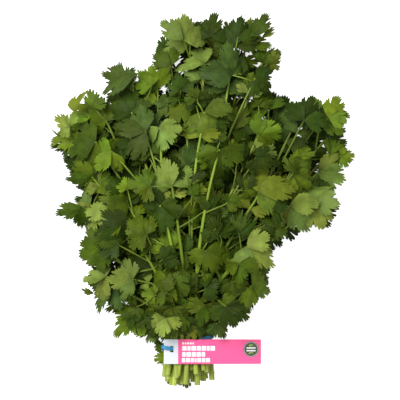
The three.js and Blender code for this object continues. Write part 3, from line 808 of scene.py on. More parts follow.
def ground_leaf(path, outline, random):
    """A dark green leaf on the table below the stems, where it fills the gaps between them as painted shade.
    """
    for _ in range(GROUND["tries"]):
        root, heading, joint = offshoot(path, GROUND, random)
        joint[2] = BLADE["lowest_joint"] + random() * GROUND["rise"]
        size = between(random, GROUND["smallest"], GROUND["largest"])
        roll = (random() - 0.5) * GROUND["roll"]
        leaf_frame = LeafFrame(joint, heading, GROUND["pitch"], roll, size)
        if joint[1] > NECK["exit"] + size * GROUND["off_neck"] and outline.holds(leaf_frame):
            return Leaf(leaf_frame, *short_stalk(root, leaf_frame), "dark")
    return None


def outer_leaf(path, place, turns, size, tone, sides):
    """A leaf of the bunch's rim, on a stalk from the nearest place on its stem."""
    leaf_frame = LeafFrame(place, *(math.radians(turn) for turn in turns), size)
    behind = leaf_frame.joint - leaf_frame.ahead * size * SHORT_STALK["behind"]
    root = path[nearest_on(path, behind), :3]
    return Leaf(leaf_frame, *short_stalk(root, leaf_frame), tone, sides)


def grow(fill_step):
    """The whole bunch as stems with planned, paired, outer and filling leaves."""
    stems, crowd = lay_out()
    for stem in stems:
        stem.leaves = [Leaf(*settled, *plan[4:]) for settled, plan in zip(stem.leaves, stem.plan)]
    outline = Outline(stems)
    for number, x, y, z, heading, pitch, roll, size, tone, sides in OUTER_LEAVES:
        stem = stems[number - 1]
        path = rounded(stem.leaves[0].points, stem.leaves[0].radii)
        leaf = outer_leaf(path, (x, y, z), (heading, pitch, roll), size, tone, sides)
        crowd.add(blade_balls(leaf.frame, FILL_BLADE, FILL_SAMPLES, sides), number)
        stem.leaves.append(leaf)
    for stem in stems:
        random = seeded("pairs", stem.number)
        pairs = [pair_leaf(stem, number, crowd, outline, random) for number in range(len(stem.plan))]
        stem.leaves += filter(None, pairs)
    for stem in stems:
        random = seeded("offshoots", stem.number)
        path = rounded(stem.leaves[0].points[1:], stem.leaves[0].radii[1:])
        crowns = CROWN["each"] if stem.row >= CROWN["first_row"] else 0
        grounds = GROUND["each"] if stem.row < GROUND["rows"] else 0
        fills = round(stem.run / fill_step) + 1
        small = [crown_leaf(stem, path, crowd, outline, random) for _ in range(crowns)]
        small += [fill_leaf(stem, path, crowd, outline, random) for _ in range(fills)]
        small += [ground_leaf(path, outline, random) for _ in range(grounds)]
        stem.leaves += filter(None, small)
    return stems


# ---- Node trees --------------------------------------------------------------------------------


class Field:
    """A value carried by a node tree. Sums and products of fields become math nodes."""

    def __init__(self, tree, socket, vector=False):
        self.tree = tree
        self.socket = socket
        self.vector = vector

    def joined(self, operation, *others):
        kind = "ShaderNodeVectorMath" if self.vector else "ShaderNodeMath"
        node = self.tree.nodes.new(kind)
        node.operation = operation
        for place, term in enumerate((self, *others)):
            feed(self.tree, node.inputs[place], term)
        return Field(self.tree, node.outputs[0], self.vector)

    def __add__(self, other):
        return self.joined("ADD", other)

    def __sub__(self, other):
        return self.joined("SUBTRACT", other)

    def __mul__(self, other):
        return self.joined("MULTIPLY", other)

    def __truediv__(self, other):
        return self.joined("DIVIDE", other)

    def times(self, number):
        """A vector times a number."""
        node = self.tree.nodes.new("ShaderNodeVectorMath")
        node.operation = "SCALE"
        feed(self.tree, node.inputs[0], self)
        feed(self.tree, node.inputs["Scale"], number)
        return Field(self.tree, node.outputs[0], True)

    def parts(self):
        node = put(self.tree, "ShaderNodeSeparateXYZ", {"Vector": self})
        return [Field(self.tree, node.outputs[axis]) for axis in "XYZ"]

    def stepped(self, low, high):
        """0 at low, 1 at high and smooth between them."""
        node = put(self.tree, "ShaderNodeMapRange", {"Value": self, "From Min": low, "From Max": high})
        node.interpolation_type = "SMOOTHSTEP"
        return Field(self.tree, node.outputs["Result"])


def feed(tree, socket, value):
    """Give an input socket a value or another node's output."""
    if isinstance(value, Field):
        value = value.socket
    if isinstance(value, bpy.types.NodeSocket):
        tree.links.new(value, socket)
    else:
        socket.default_value = value


def put(tree, kind, values=None, **settings):
    """Add a node with its settings and the values of its inputs."""
    node = tree.nodes.new(kind)
    for key, value in settings.items():
        setattr(node, key, value)
    for key, value in (values or {}).items():
        feed(tree, node.inputs[key], value)
    return node


def new_tree(name, kind, inputs, outputs):
    """A node group with named inputs and outputs; an input is (name, socket type, default)."""
    tree = bpy.data.node_groups.new(name, kind)
    for label, socket_type, value in inputs:
        socket = tree.interface.new_socket(label, in_out="INPUT", socket_type=socket_type)
        if value is not None:
            socket.default_value = value
    for label, socket_type in outputs:
        tree.interface.new_socket(label, in_out="OUTPUT", socket_type=socket_type)
    return tree, tree.nodes.new("NodeGroupInput").outputs, tree.nodes.new("NodeGroupOutput").inputs


def named(tree, name, data_type="FLOAT"):
    """The field of a named attribute."""
    node = put(tree, "GeometryNodeInputNamedAttribute", {"Name": name}, data_type=data_type)
    return Field(tree, node.outputs["Attribute"], data_type == "FLOAT_VECTOR")


# The waves of a leaflet: what keeps its base and its crease smooth, how many ruffles it has, and how
# strong its pleats are beside them.
WAVES = {"off_base": 0.02, "crease": 0.008, "ruffles": 7, "pleat": 0.3}
# A place in metres, too far out to hold a leaf back.
NO_LIMIT = -10.0


def leafy_stem_tree():
    """Tubes along the stem and stalks, and leaflets set on their joints and bent to their leaf."""
    tree, given, result = new_tree(
        "leafy_stem", "GeometryNodeTree",
        [
            ("Geometry", "NodeSocketGeometry", None),
            ("Leaflets", "NodeSocketCollection", None),
            ("Leaf Thickness", "NodeSocketFloat", 0.0003),
            ("Leaf Arch", "NodeSocketFloat", BLADE["arch"]),
            ("Lowest Point", "NodeSocketFloat", BLADE["floor"] * MM),
            ("Ribs", "NodeSocketInt", 6),
            ("Rib Depth", "NodeSocketFloat", 0.1),
            ("Stem", "NodeSocketMaterial", None),
            ("Leaf Upper", "NodeSocketMaterial", None),
            ("Leaf Under", "NodeSocketMaterial", None),
        ],
        [("Geometry", "NodeSocketGeometry")],
    )
    curve = put(tree, "GeometryNodeMeshToCurve", {"Mesh": given["Geometry"]})
    thick = put(tree, "GeometryNodeSetCurveRadius",
                {"Curve": curve.outputs["Curve"], "Radius": named(tree, "stem_radius")})
    inner = Field(tree, given["Rib Depth"]) * -1 + 1
    star = put(tree, "GeometryNodeCurveStar",
               {"Points": given["Ribs"], "Inner Radius": inner, "Outer Radius": 1.0})
    ribs = put(tree, "GeometryNodeStoreNamedAttribute",
               {"Geometry": star.outputs["Curve"], "Name": "rib", "Value": star.outputs["Outer Points"]},
               data_type="FLOAT", domain="POINT")
    tubes = put(tree, "GeometryNodeCurveToMesh", {
        "Curve": thick.outputs["Curve"], "Profile Curve": ribs.outputs["Geometry"], "Fill Caps": True})
    feed(tree, tubes.inputs["Scale"], put(tree, "GeometryNodeInputRadius").outputs["Radius"])
    stems = put(tree, "GeometryNodeSetMaterial",
                {"Geometry": tubes.outputs["Mesh"], "Material": given["Stem"]})

    shapes = put(tree, "GeometryNodeCollectionInfo",
                 {"Collection": given["Leaflets"], "Separate Children": True, "Reset Children": True})
    spread = put(tree, "GeometryNodeInstanceOnPoints", {
        "Points": given["Geometry"], "Selection": named(tree, "is_leaflet", "BOOLEAN"),
        "Instance": shapes.outputs["Instances"], "Pick Instance": True,
        "Instance Index": named(tree, "variant", "INT")})
    real = put(tree, "GeometryNodeRealizeInstances", {"Geometry": spread.outputs["Instances"]})

    side, along, face = named(tree, "flat", "FLOAT_VECTOR").parts()
    side = side * named(tree, "slim")
    droop, fold, cup = named(tree, "curl", "FLOAT_VECTOR").parts()
    lean, tilt, wave = named(tree, "lean", "FLOAT_VECTOR").parts()
    turn = named(tree, "leaflet_turn")
    length = named(tree, "leaflet_length")
    phase = named(tree, "phase")
    up = named(tree, "up", "FLOAT_VECTOR")
    cosine, sine = turn.joined("COSINE"), turn.joined("SINE")
    u = length * (along * cosine - side * sine)
    v = length * (along * sine + side * cosine)
    bend = (u * u * BLADE["arch_ahead"] + v * v) * given["Leaf Arch"] / named(tree, "leaf_size")
    reach = (side * side + along * along).joined("SQRT")
    angle = side.joined("ARCTAN2", along + WAVES["off_base"])
    pleat = (angle * (2 * math.pi / LOBE_PITCH)).joined("COSINE") * reach
    ruffle = (angle * WAVES["ruffles"] + phase).joined("SINE") * reach * reach * reach
    crease = (side * side + WAVES["crease"]).joined("SQRT")
    lift = length * (crease * fold - along * along * droop - side * side * cup
                     + along * lean + side * tilt + (ruffle + pleat * WAVES["pleat"]) * wave)
    middle = (named(tree, "joint", "FLOAT_VECTOR") + named(tree, "ahead", "FLOAT_VECTOR").times(u)
              + named(tree, "right", "FLOAT_VECTOR").times(v) + up.times(lift - bend))
    floor = put(tree, "ShaderNodeCombineXYZ", {"X": NO_LIMIT, "Y": NO_LIMIT, "Z": given["Lowest Point"]})
    lying = middle.joined("MAXIMUM", Field(tree, floor.outputs[0], True))
    place = lying + up.times(face * given["Leaf Thickness"])
    bent = put(tree, "GeometryNodeSetPosition", {"Geometry": real.outputs["Geometry"], "Position": place})
    upper = put(tree, "GeometryNodeSetMaterial",
                {"Geometry": bent.outputs["Geometry"], "Material": given["Leaf Upper"]})
    under = put(tree, "GeometryNodeSetMaterial", {
        "Geometry": upper.outputs["Geometry"], "Selection": named(tree, "is_under", "BOOLEAN"),
        "Material": given["Leaf Under"]})
    joined = put(tree, "GeometryNodeJoinGeometry")
    tree.links.new(under.outputs["Geometry"], joined.inputs[0])
    tree.links.new(stems.outputs["Geometry"], joined.inputs[0])
    feed(tree, result["Geometry"], joined.outputs[0])
    return tree


def band_tree():
    """A closed path as a flat band, with its width held level across the path."""
    tree, given, result = new_tree(
        "flat_band", "GeometryNodeTree",
        [
            ("Geometry", "NodeSocketGeometry", None),
            ("Width", "NodeSocketFloat", 0.0028),
            ("Thickness", "NodeSocketFloat", 0.001),
            ("Corner", "NodeSocketFloat", 0.0003),
            ("Material", "NodeSocketMaterial", None),
        ],
        [("Geometry", "NodeSocketGeometry")],
    )
    curve = put(tree, "GeometryNodeMeshToCurve", {"Mesh": given["Geometry"]})
    level = put(tree, "GeometryNodeSetCurveNormal", {"Curve": curve.outputs["Curve"]})
    level.mode = "FREE"
    feed(tree, level.inputs["Normal"], (0.0, 1.0, 0.0))
    section = put(tree, "GeometryNodeCurvePrimitiveQuadrilateral",
                  {"Width": given["Width"], "Height": given["Thickness"]})
    rounding = put(tree, "GeometryNodeFilletCurve",
                   {"Curve": section.outputs["Curve"], "Radius": given["Corner"], "Limit Radius": True})
    rounding.mode = "POLY"
    feed(tree, rounding.inputs["Count"], 3)
    band = put(tree, "GeometryNodeCurveToMesh", {
        "Curve": level.outputs["Curve"], "Profile Curve": rounding.outputs["Curve"]})
    smooth = put(tree, "GeometryNodeSetShadeSmooth", {"Geometry": band.outputs["Mesh"]})
    finish = put(tree, "GeometryNodeSetMaterial",
                 {"Geometry": smooth.outputs["Geometry"], "Material": given["Material"]})
    real = put(tree, "GeometryNodeRealizeInstances", {"Geometry": finish.outputs["Geometry"]})
    feed(tree, result["Geometry"], real.outputs["Geometry"])
    return tree


def set_input(modifier, label, value):
    """Set an input of a node modifier by its socket's identifier."""
    for item in modifier.node_group.interface.items_tree:
        if item.item_type == "SOCKET" and item.in_out == "INPUT" and item.name == label:
            modifier[item.identifier] = value
            return
    raise KeyError(f"{modifier.node_group.name} has no input named {label}")


MESH_ATTRIBUTES = ("material_index", "sharp_face", "sharp_edge", "UVMap")


def made_plain(piece, tree, inputs, keep=()):
    """Run a node tree on a piece, and leave the result as its plain mesh."""
    modifier = piece.modifiers.new(tree.name, "NODES")
    modifier.node_group = tree
    for label, value in inputs.items():
        set_input(modifier, label, value)
    bpy.context.view_layer.update()
    evaluated = piece.evaluated_get(bpy.context.evaluated_depsgraph_get())
    mesh = bpy.data.meshes.new_from_object(evaluated)
    piece.modifiers.clear()
    piece.data = mesh
    spare = [
        attribute.name for attribute in mesh.attributes
        if not (attribute.is_required or attribute.is_internal
                or attribute.name in MESH_ATTRIBUTES or attribute.name in keep)
    ]
    for name in spare:
        mesh.attributes.remove(mesh.attributes[name])
    return piece


# ---- Leaflet shapes ----------------------------------------------------------------------------

# A leaflet's lobes from its left to its right: where each starts and ends, in degrees from the
# rib, and how many teeth it has. A broad leaflet has more teeth and more rows of points.
LOBES = {
    "broad": ((-54, -18, 4), (-18, 18, 5), (18, 54, 4)),
    "small": ((-54, -18, 3), (-18, 18, 3), (18, 54, 3)),
}
VARIANTS = {"broad": 8, "small": 8}
RINGS = {"broad": ((0.76, 17), (0.48, 11), (0.22, 5)), "small": ((0.6, 7),)}
# How far a leaflet reaches at an angle from its rib, as a share of its length.
REACH = ((0, 1.0), (18, 0.97), (34, 0.86), (46, 0.7), (56, 0.5), (62, 0.36))
LEAFLET_END = 62
BASE_REACH = 0.12
# Chance in a rim, from the least to the most: the depth of a leaflet's bays, and the factors on the
# depth of its teeth, on each bay, on each tooth and on each notch; and degrees beside each lobe.
BAY = (0.16, 0.62)
TOOTH = (0.6, 1.5)
EACH_BAY = (0.75, 1.25)
EACH_TOOTH = (0.97, 1.03)
EACH_NOTCH = (0.7, 1.3)
BESIDE_LOBE = (1.8, 4.4)
# How much a lobe's size varies, and how much smaller its outer teeth are.
LOBE = {"chance": 0.14, "rounding": 0.1}
# A tooth between its two notches: how far across it a point lies, and how deep in the notch.
TOOTH_POINTS = {
    "broad": ((0.14, 0.3), (0.4, 0.0), (0.7, 0.05), (0.9, 0.35)),
    "small": ((0.25, 0.1), (0.7, 0.0)),
}
# The length in millimetres from which a leaflet takes a broad shape.
SMALLEST_BROAD = 15.5
# The UV map of a leaflet is its side and along, in this span from this offset.
LEAFLET_SPAN = 2.0
LEAFLET_OFFSET = (0.5, 0.2)
# The third flat coordinate of the upper face, which is negative on the under face, and its height
# in the flat mesh.
UPPER = 0.5
UNIT_HEIGHT = 0.02


def reach_at(angle):
    angles, reaches = zip(*REACH)
    return float(np.interp(abs(angle), angles, reaches))


def leaflet_rim(kind, random, tooth):
    """The toothed rim of a leaflet from its left side to its right, as (angle, reach)."""
    rim = [(-LEAFLET_END, BASE_REACH)]
    bay = between(random, *BAY)
    tooth *= between(random, *TOOTH)
    last_end = LOBES[kind][-1][1]
    for start, end, teeth in LOBES[kind]:
        edge = between(random, *BESIDE_LOBE)
        full = 1 + (random() - 0.5) * LOBE["chance"]
        width = (end - start - 2 * edge) / teeth
        for number in range(teeth):
            left = start + edge + number * width
            off = (left + width / 2 - (start + end) / 2) / ((end - start) / 2)
            size = reach_at(left + width / 2) * full * (1 - LOBE["rounding"] * off * off)
            size *= between(random, *EACH_TOOTH)
            notch = tooth * between(random, *EACH_NOTCH)
            rim.append((left, size * (1 - notch)))
            for across, depth in TOOTH_POINTS[kind]:
                rim.append((left + width * across, size * (1 - notch * depth)))
        rim.append((end - edge, size * (1 - notch)))
        if end < last_end:
            rim.append((end, reach_at(end) * (1 - bay * between(random, *EACH_BAY))))
    rim.append((LEAFLET_END, BASE_REACH))
    return rim


def zipped(outer, inner):
    """Triangles between two rows of (angle, vertex) that run the same way."""
    faces = []
    i = j = 0
    while i < len(outer) - 1 or j < len(inner) - 1:
        if j == len(inner) - 1 or (i < len(outer) - 1 and outer[i + 1][0] <= inner[j + 1][0]):
            faces.append((outer[i][1], outer[i + 1][1], inner[j][1]))
            i += 1
        else:
            faces.append((outer[i][1], inner[j + 1][1], inner[j][1]))
            j += 1
    return faces


def leaflet_shape(kind, number, tooth):
    """One closed leaflet of unit length with its base at the origin and its rib along +Y.

    Its two faces share the toothed rim and stand apart inside it.
    """
    rim = leaflet_rim(kind, seeded("leaflet", number), tooth)
    rows = [rim]
    for share, count in RINGS[kind]:
        angles = np.linspace(-LEAFLET_END, LEAFLET_END, count)
        reaches = np.interp(angles, *zip(*rim)) * share
        rows.append(list(zip(angles, reaches)))
    places = []
    labelled = []
    for row in rows:
        labels = []
        for angle, reach in row:
            labels.append((angle, len(places)))
            turn = math.radians(angle)
            places.append((reach * math.sin(turn), reach * math.cos(turn)))
        labelled.append(labels)
    base = len(places)
    places.append((0.0, 0.0))
    faces = []
    for outer, inner in zip(labelled, labelled[1:]):
        faces += zipped(outer, inner)
    heart = [label for _, label in labelled[-1]]
    faces += [(a, b, base) for a, b in zip(heart, heart[1:])]

    edge = {label for _, label in labelled[0]} | {base}
    edge |= {label for row in labelled for _, label in (row[0], row[-1])}
    inside = [label for label in range(len(places)) if label not in edge]
    lower = {label: len(places) + place for place, label in enumerate(inside)}
    flat = [(x, y, 0.0 if label in edge else UPPER) for label, (x, y) in enumerate(places)]
    flat += [(*places[label], -UPPER) for label in inside]
    upper_faces = [(a, c, b) for a, b, c in faces]
    under_faces = [tuple(lower.get(label, label) for label in face) for face in faces]
    mesh = bpy.data.meshes.new(f"{kind}_leaflet_{number}")
    mesh.from_pydata([(x, y, face * UNIT_HEIGHT) for x, y, face in flat], [], upper_faces + under_faces)
    is_under = [False] * len(faces) + [True] * len(faces)
    add_attribute(mesh, "flat", "FLOAT_VECTOR", flat)
    add_attribute(mesh, "is_under", "BOOLEAN", is_under, "FACE")
    rim_edges = [all(label in edge for label in line.vertices) for line in mesh.edges]
    add_attribute(mesh, "sharp_edge", "BOOLEAN", rim_edges, "EDGE")
    uv = mesh.uv_layers.new(name="UVMap")
    corners = np.array([flat[loop.vertex_index][:2] for loop in mesh.loops])
    uv.data.foreach_set("uv", (corners / LEAFLET_SPAN + LEAFLET_OFFSET).astype(np.float32).ravel())
    return bpy.data.objects.new(mesh.name, mesh)


def add_attribute(mesh, name, data_type, values, domain="POINT"):
    keys = {"FLOAT_VECTOR": "vector", "FLOAT_COLOR": "color"}
    attribute = mesh.attributes.new(name, data_type, domain)
    attribute.data.foreach_set(keys.get(data_type, "value"), np.array(values).ravel())


# ---- Materials ---------------------------------------------------------------------------------


def new_material(name):
    material = bpy.data.materials.new(name)
    material.use_nodes = True
    tree = material.node_tree
    return material, tree, tree.nodes["Principled BSDF"]


def color_mix(tree, share, first, second, blend_type="MIX"):
    node = put(tree, "ShaderNodeMix", data_type="RGBA", blend_type=blend_type)
    feed(tree, node.inputs[0], share)
    feed(tree, node.inputs[6], first)
    feed(tree, node.inputs[7], second)
    return node.outputs[2]


def shaded(tree, color, shade):
    """A colour times a shade."""
    grey = put(tree, "ShaderNodeCombineColor", {"Red": shade, "Green": shade, "Blue": shade})
    return color_mix(tree, 1.0, color, grey.outputs[0], "MULTIPLY")


# Veins: the widths of the main and of the fine ones, and how they fade.
VEINS = {"main": 0.011, "fine": 0.008, "fine_each": 4, "soft": (1.0, 0.2), "fine_from": (0.35, 0.7),
         "fine_share": 0.5}


def vein_group():
    """Veins that fan out from the base of a leaflet: a mask, and how far out it is."""
    tree, given, result = new_tree(
        "leaf_veins", "ShaderNodeTree",
        [("Vector", "NodeSocketVector", None), ("Main Width", "NodeSocketFloat", VEINS["main"]),
         ("Fine Width", "NodeSocketFloat", VEINS["fine"])],
        [("Mask", "NodeSocketFloat"), ("Reach", "NodeSocketFloat")],
    )
    side, along, _ = Field(tree, given["Vector"], True).parts()
    side = (side - LEAFLET_OFFSET[0]) * LEAFLET_SPAN
    along = (along - LEAFLET_OFFSET[1]) * LEAFLET_SPAN
    reach = (side * side + along * along).joined("SQRT")
    angle = side.joined("ARCTAN2", along)
    pitches = {"Main Width": LOBE_PITCH, "Fine Width": LOBE_PITCH / VEINS["fine_each"]}
    masks = []
    for label, pitch in pitches.items():
        off = (angle * (math.pi / pitch)).joined("SINE").joined("ABSOLUTE") * reach * (pitch / math.pi)
        masks.append((off / given[label]).stepped(*VEINS["soft"]))
    fine = masks[1] * reach.stepped(*VEINS["fine_from"]) * VEINS["fine_share"]
    feed(tree, result["Mask"], masks[0].joined("MAXIMUM", fine))
    feed(tree, result["Reach"], reach)
    return tree


MOTTLE_DETAIL = 3.0


def mottle_group():
    """Uneven light and dark at two scales, in the object's own space."""
    tree, given, result = new_tree(
        "plant_mottle", "ShaderNodeTree",
        [("Scale", "NodeSocketFloat", 90.0), ("Fine Scale", "NodeSocketFloat", 900.0)],
        [("Broad", "NodeSocketFloat"), ("Fine", "NodeSocketFloat")],
    )
    coordinates = put(tree, "ShaderNodeTexCoord").outputs["Object"]
    for label, scale in (("Broad", "Scale"), ("Fine", "Fine Scale")):
        noise = put(tree, "ShaderNodeTexNoise",
                    {"Vector": coordinates, "Scale": given[scale], "Detail": MOTTLE_DETAIL})
        feed(tree, result[label], noise.outputs["Fac"])
    return tree


def group_node(tree, group, values=None):
    node = put(tree, "ShaderNodeGroup", node_tree=group)
    for label, value in (values or {}).items():
        feed(tree, node.inputs[label], value)
    return node


def attribute_color(tree, name):
    return put(tree, "ShaderNodeAttribute", attribute_name=name).outputs["Color"]


def bumped(tree, shader, height, strength, distance):
    bump = put(tree, "ShaderNodeBump", {"Height": height, "Strength": strength, "Distance": distance})
    feed(tree, shader.inputs["Normal"], bump.outputs["Normal"])


def mottled(tree, groups, look):
    """The broad and the fine mottle of a finish, and both as unevenness about 0."""
    mottle = group_node(tree, groups["mottle"], {"Scale": look["scale"], "Fine Scale": look["fine_scale"]})
    broad, fine = (Field(tree, mottle.outputs[label]) for label in ("Broad", "Fine"))
    return broad, fine, (broad - 0.5) * look["broad"] + (fine - 0.5) * look["fine"]


# The two finishes of a leaf and that of a stem: the scales and strengths of the mottle, the shares
# of colour, the gloss, and the relief that its bump shows.
LEAF = {"scale": 170.0, "fine_scale": 1100.0, "broad": 1.1, "fine": 0.5, "dark_base": (0.35, 0.0),
        "dark_share": 0.25, "gloss_chance": 0.3, "relief": (2.5, 0.3), "bump": (0.6, 0.0006)}
FACES = {
    "upper": {"cast": 0, "vein": 0.1, "roughness": 0.5, "shine": 0.1, "vein_relief": -0.3},
    "under": {"cast": 0.35, "vein": 0.25, "roughness": 0.62, "shine": 0.06, "vein_relief": 0.4},
}
STEM = {"scale": 60.0, "fine_scale": 1100.0, "broad": 0.6, "fine": 0.3, "rib": 0.25, "level": 0.84,
        "gloss_chance": 0.3, "roughness": 0.4, "shine": 0.25, "relief": (0.4, 0.6), "bump": (0.3, 0.0003)}


def leaf_material(groups, face, settings):
    """The upper or the under face of a leaf."""
    material, tree, shader = new_material(f"coriander_leaf_{face}")
    look = FACES[face]
    uv = put(tree, "ShaderNodeUVMap", uv_map="UVMap").outputs["UV"]
    veins = group_node(tree, groups["veins"], {"Vector": uv})
    vein = Field(tree, veins.outputs["Mask"])
    reach = Field(tree, veins.outputs["Reach"])
    broad, fine, uneven = mottled(tree, groups, LEAF)
    tint = attribute_color(tree, "tint")
    if look["cast"]:
        tint = color_mix(tree, look["cast"], tint, (*settings.under_color, 1))
    shade = uneven + 1 - reach.stepped(*LEAF["dark_base"]) * LEAF["dark_share"]
    color = color_mix(tree, vein * look["vein"], shaded(tree, tint, shade), (*settings.vein_color, 1))
    feed(tree, shader.inputs["Base Color"], color)
    feed(tree, shader.inputs["Roughness"], (fine - 0.5) * LEAF["gloss_chance"] + look["roughness"])
    shader.inputs["Specular IOR Level"].default_value = look["shine"]
    height = vein * look["vein_relief"] + broad * LEAF["relief"][0] + fine * LEAF["relief"][1]
    bumped(tree, shader, height, *LEAF["bump"])
    return material


def stem_material(groups):
    """Juicy stems: pale ribs, darker furrows and a little unevenness along them."""
    material, tree, shader = new_material("coriander_stem")
    rib = Field(tree, put(tree, "ShaderNodeAttribute", attribute_name="rib").outputs["Fac"])
    _, fine, uneven = mottled(tree, groups, STEM)
    shade = uneven + rib * STEM["rib"] + STEM["level"]
    feed(tree, shader.inputs["Base Color"], shaded(tree, attribute_color(tree, "tint"), shade))
    feed(tree, shader.inputs["Roughness"], (fine - 0.5) * STEM["gloss_chance"] + STEM["roughness"])
    shader.inputs["Specular IOR Level"].default_value = STEM["shine"]
    bumped(tree, shader, fine * STEM["relief"][0] + rib * STEM["relief"][1], *STEM["bump"])
    return material


# Plain finishes: their roughness, and the scale, the relief and the contrast of their grain.
GRAINS = {
    "rubber": (0.5, 700.0, 0.0001, 0.3),
    "card": (0.42, 900.0, 0.00004, 0.05),
    "ink": (0.45, 900.0, 0.00003, 0.05),
    "floor": (0.7, 40.0, 0.0001, 0.02),
}
GRAIN = {"detail": 4.0, "gloss_chance": 0.2, "bump": 0.3}


def grained(tree, shader, color, finish):
    """A fine grain in the colour, the gloss and the surface of a plain finish."""
    roughness, scale, depth, contrast = GRAINS[finish]
    coordinates = put(tree, "ShaderNodeTexCoord").outputs["Object"]
    noise = put(tree, "ShaderNodeTexNoise",
                {"Vector": coordinates, "Scale": scale, "Detail": GRAIN["detail"]})
    grain = Field(tree, noise.outputs["Fac"])
    feed(tree, shader.inputs["Base Color"], shaded(tree, color, (grain - 0.5) * contrast + 1))
    feed(tree, shader.inputs["Roughness"], (grain - 0.5) * GRAIN["gloss_chance"] + roughness)
    bumped(tree, shader, grain, GRAIN["bump"], depth)


def grained_material(name, color, finish):
    material, tree, shader = new_material(name)
    grained(tree, shader, (*color, 1), finish)
    return material


# The printed side of the card, in millimetres: where its colour starts and how soft that edge is,
# the gap between its blocks, and how far its prints stand out of it and sink into it.
PRINT = {"from": -16.6, "soft": 0.05, "gap": 0.55, "lift": 0.02, "sink": 0.05}


def card_material(settings):
    """Printed card: bare at its tied end, and solid colour from there on."""
    material, tree, shader = new_material("printed_card")
    coordinates = Field(tree, put(tree, "ShaderNodeTexCoord").outputs["Object"], True)
    x = coordinates.parts()[0]
    printed = x.stepped((PRINT["from"] - PRINT["soft"]) * MM, (PRINT["from"] + PRINT["soft"]) * MM)
    color = color_mix(tree, printed, (*settings.bare_color, 1), (*settings.pink_color, 1))
    grained(tree, shader, color, "card")
    return material


# ---- Sizes and colours a user would change -----------------------------------------------------


def tint_property(name, description, *color):
    """A colour that a user can set."""
    return FloatVectorProperty(name=name, description=description, subtype="COLOR", default=color)


class LeafSettings(PropertyGroup):
    thickness: FloatProperty(name="Thickness", description="Thickness of a leaf blade",
                             default=0.0003, unit="LENGTH")
    tooth: FloatProperty(name="Tooth depth", description="Depth of the teeth as a share of a leaflet",
                         default=0.1, min=0.0, max=0.3, subtype="FACTOR")
    fill_step: FloatProperty(name="Filling step", default=10.0, min=5.0,
                             description="Run of a stem in millimetres per filling leaf")
    mid_color: tint_property("Mid green", "Colour of most leaves", 0.06, 0.097, 0.004)
    # Dark green: the colour of darker leaves, and also painted shade on the low, the filling and the ground
    # leaves.
    dark_color: tint_property("Dark green", "Colour of the oldest leaves", 0.028, 0.052, 0.003)
    bright_color: tint_property("Bright green", "Colour of the youngest leaves", 0.108, 0.168, 0.008)
    light_color: tint_property("Light green", "Colour of leaves that show pale", 0.155, 0.215, 0.034)
    olive_color: tint_property("Olive green", "Colour of the yellowing leaves", 0.1, 0.135, 0.011)
    # Bluish green: a painted sheen, the sky's reflection off a glossy leaf put into its colour.
    sheen_color: tint_property("Bluish green", "Colour of the bloomy leaves", 0.055, 0.093, 0.014)
    under_color: tint_property("Underside", "Cast of the under face of a leaf", 0.14, 0.19, 0.045)
    vein_color: tint_property("Veins", "Colour of the veins", 0.22, 0.3, 0.06)


class StemSettings(PropertyGroup):
    ribs: IntProperty(name="Ribs", description="Ribs round a stem", default=6, min=3, max=12)
    rib_depth: FloatProperty(name="Rib depth", description="Depth of the furrows as a share of the radius",
                             default=0.1, min=0.0, max=0.4, subtype="FACTOR")
    fresh_color: tint_property("Fresh stem", "Colour of most stems", 0.2, 0.3, 0.025)
    ripe_color: tint_property("Ripe stem", "Colour of the browner stems", 0.15, 0.13, 0.04)
    cut_color: tint_property("Cut end", "Colour of the cut faces", 0.4, 0.42, 0.18)


class BandSettings(PropertyGroup):
    rubber_color: tint_property("Band", "Colour of the elastic band", 0.03, 0.24, 0.46)


class TagSettings(PropertyGroup):
    pink_color: tint_property("Tag", "Colour of the printed card", 0.95, 0.1, 0.3)
    bare_color: tint_property("Bare card", "Colour of the card's plain end", 0.7, 0.74, 0.78)
    ink_color: tint_property("Blocks", "Colour of the printed blocks", 0.88, 0.88, 0.88)
    badge_color: tint_property("Badge", "Colour of the round badge", 0.06, 0.075, 0.045)
    sprig_color: tint_property("Sprig", "Colour of the sprigs on the badge", 0.32, 0.5, 0.05)


class StageSettings(PropertyGroup):
    floor_color: tint_property("Floor", "Colour of the plain floor", 0.86, 0.86, 0.86)
    floor_bounce: tint_property("Floor bounce", "Colour of the light from the floor", 0.4, 0.4, 0.4)
    floor_glow: FloatProperty(name="Floor glow", description="How far the floor is lifted to white",
                              default=0.75, min=0.0)
    height: FloatProperty(name="Camera height", description="Height of the camera above the floor",
                          default=2.6, unit="LENGTH")
    view: FloatProperty(name="View", description="Width of the floor that the camera sees",
                        default=0.2996, unit="LENGTH")
    key_power: FloatProperty(name="Key light", description="Power of the main light", default=24.0,
                             unit="POWER")
    sky: FloatProperty(name="Sky light", description="Strength of the even light", default=0.7, min=0.0)


# ---- Pieces ------------------------------------------------------------------------------------

# How the stems splay below the tag: from where, how far, how much shorter the outer ones are, how
# far a cut end stays above the table, and how far the cut face's colour runs up its stem.
CUT = {"from": -110.0, "x": -14.0, "splay": 0.2, "stray": 5.0, "slant": 0.3, "beyond": 2.0, "uneven": 3,
       "above": 0.2, "skin": 0.4}
# A stem's colour: how ripe it is by chance, which is less in the upper rows, the factors on a fresh
# one, the stalks' colour and end beside the stem's, and how much paler its base is, as factors on
# red, green and blue and some white on top.
RIPE = {"span": 1.6, "less": 0.7, "each_row": 0.1}
FRESH = (0.75, 1.25)
STALK = {"tint": 0.7, "end": 0.5}
BASE = {"beyond": 40, "over": 70, "paler": (0.7, 0.42, 0.8), "white": 0.025}
# A leaf's colour by chance: the share of dark green ones, which grows low down as painted shade deep in the
# heap, and the others' limits.
DARK = {"share": 0.26, "low": 0.25}
# The sheen tone, drawn by chance or planned, is the bluish green of a painted sheen.
TONES = ((0.74, "mid"), (0.83, "bright"), (0.9, "olive"), (0.96, "sheen"))
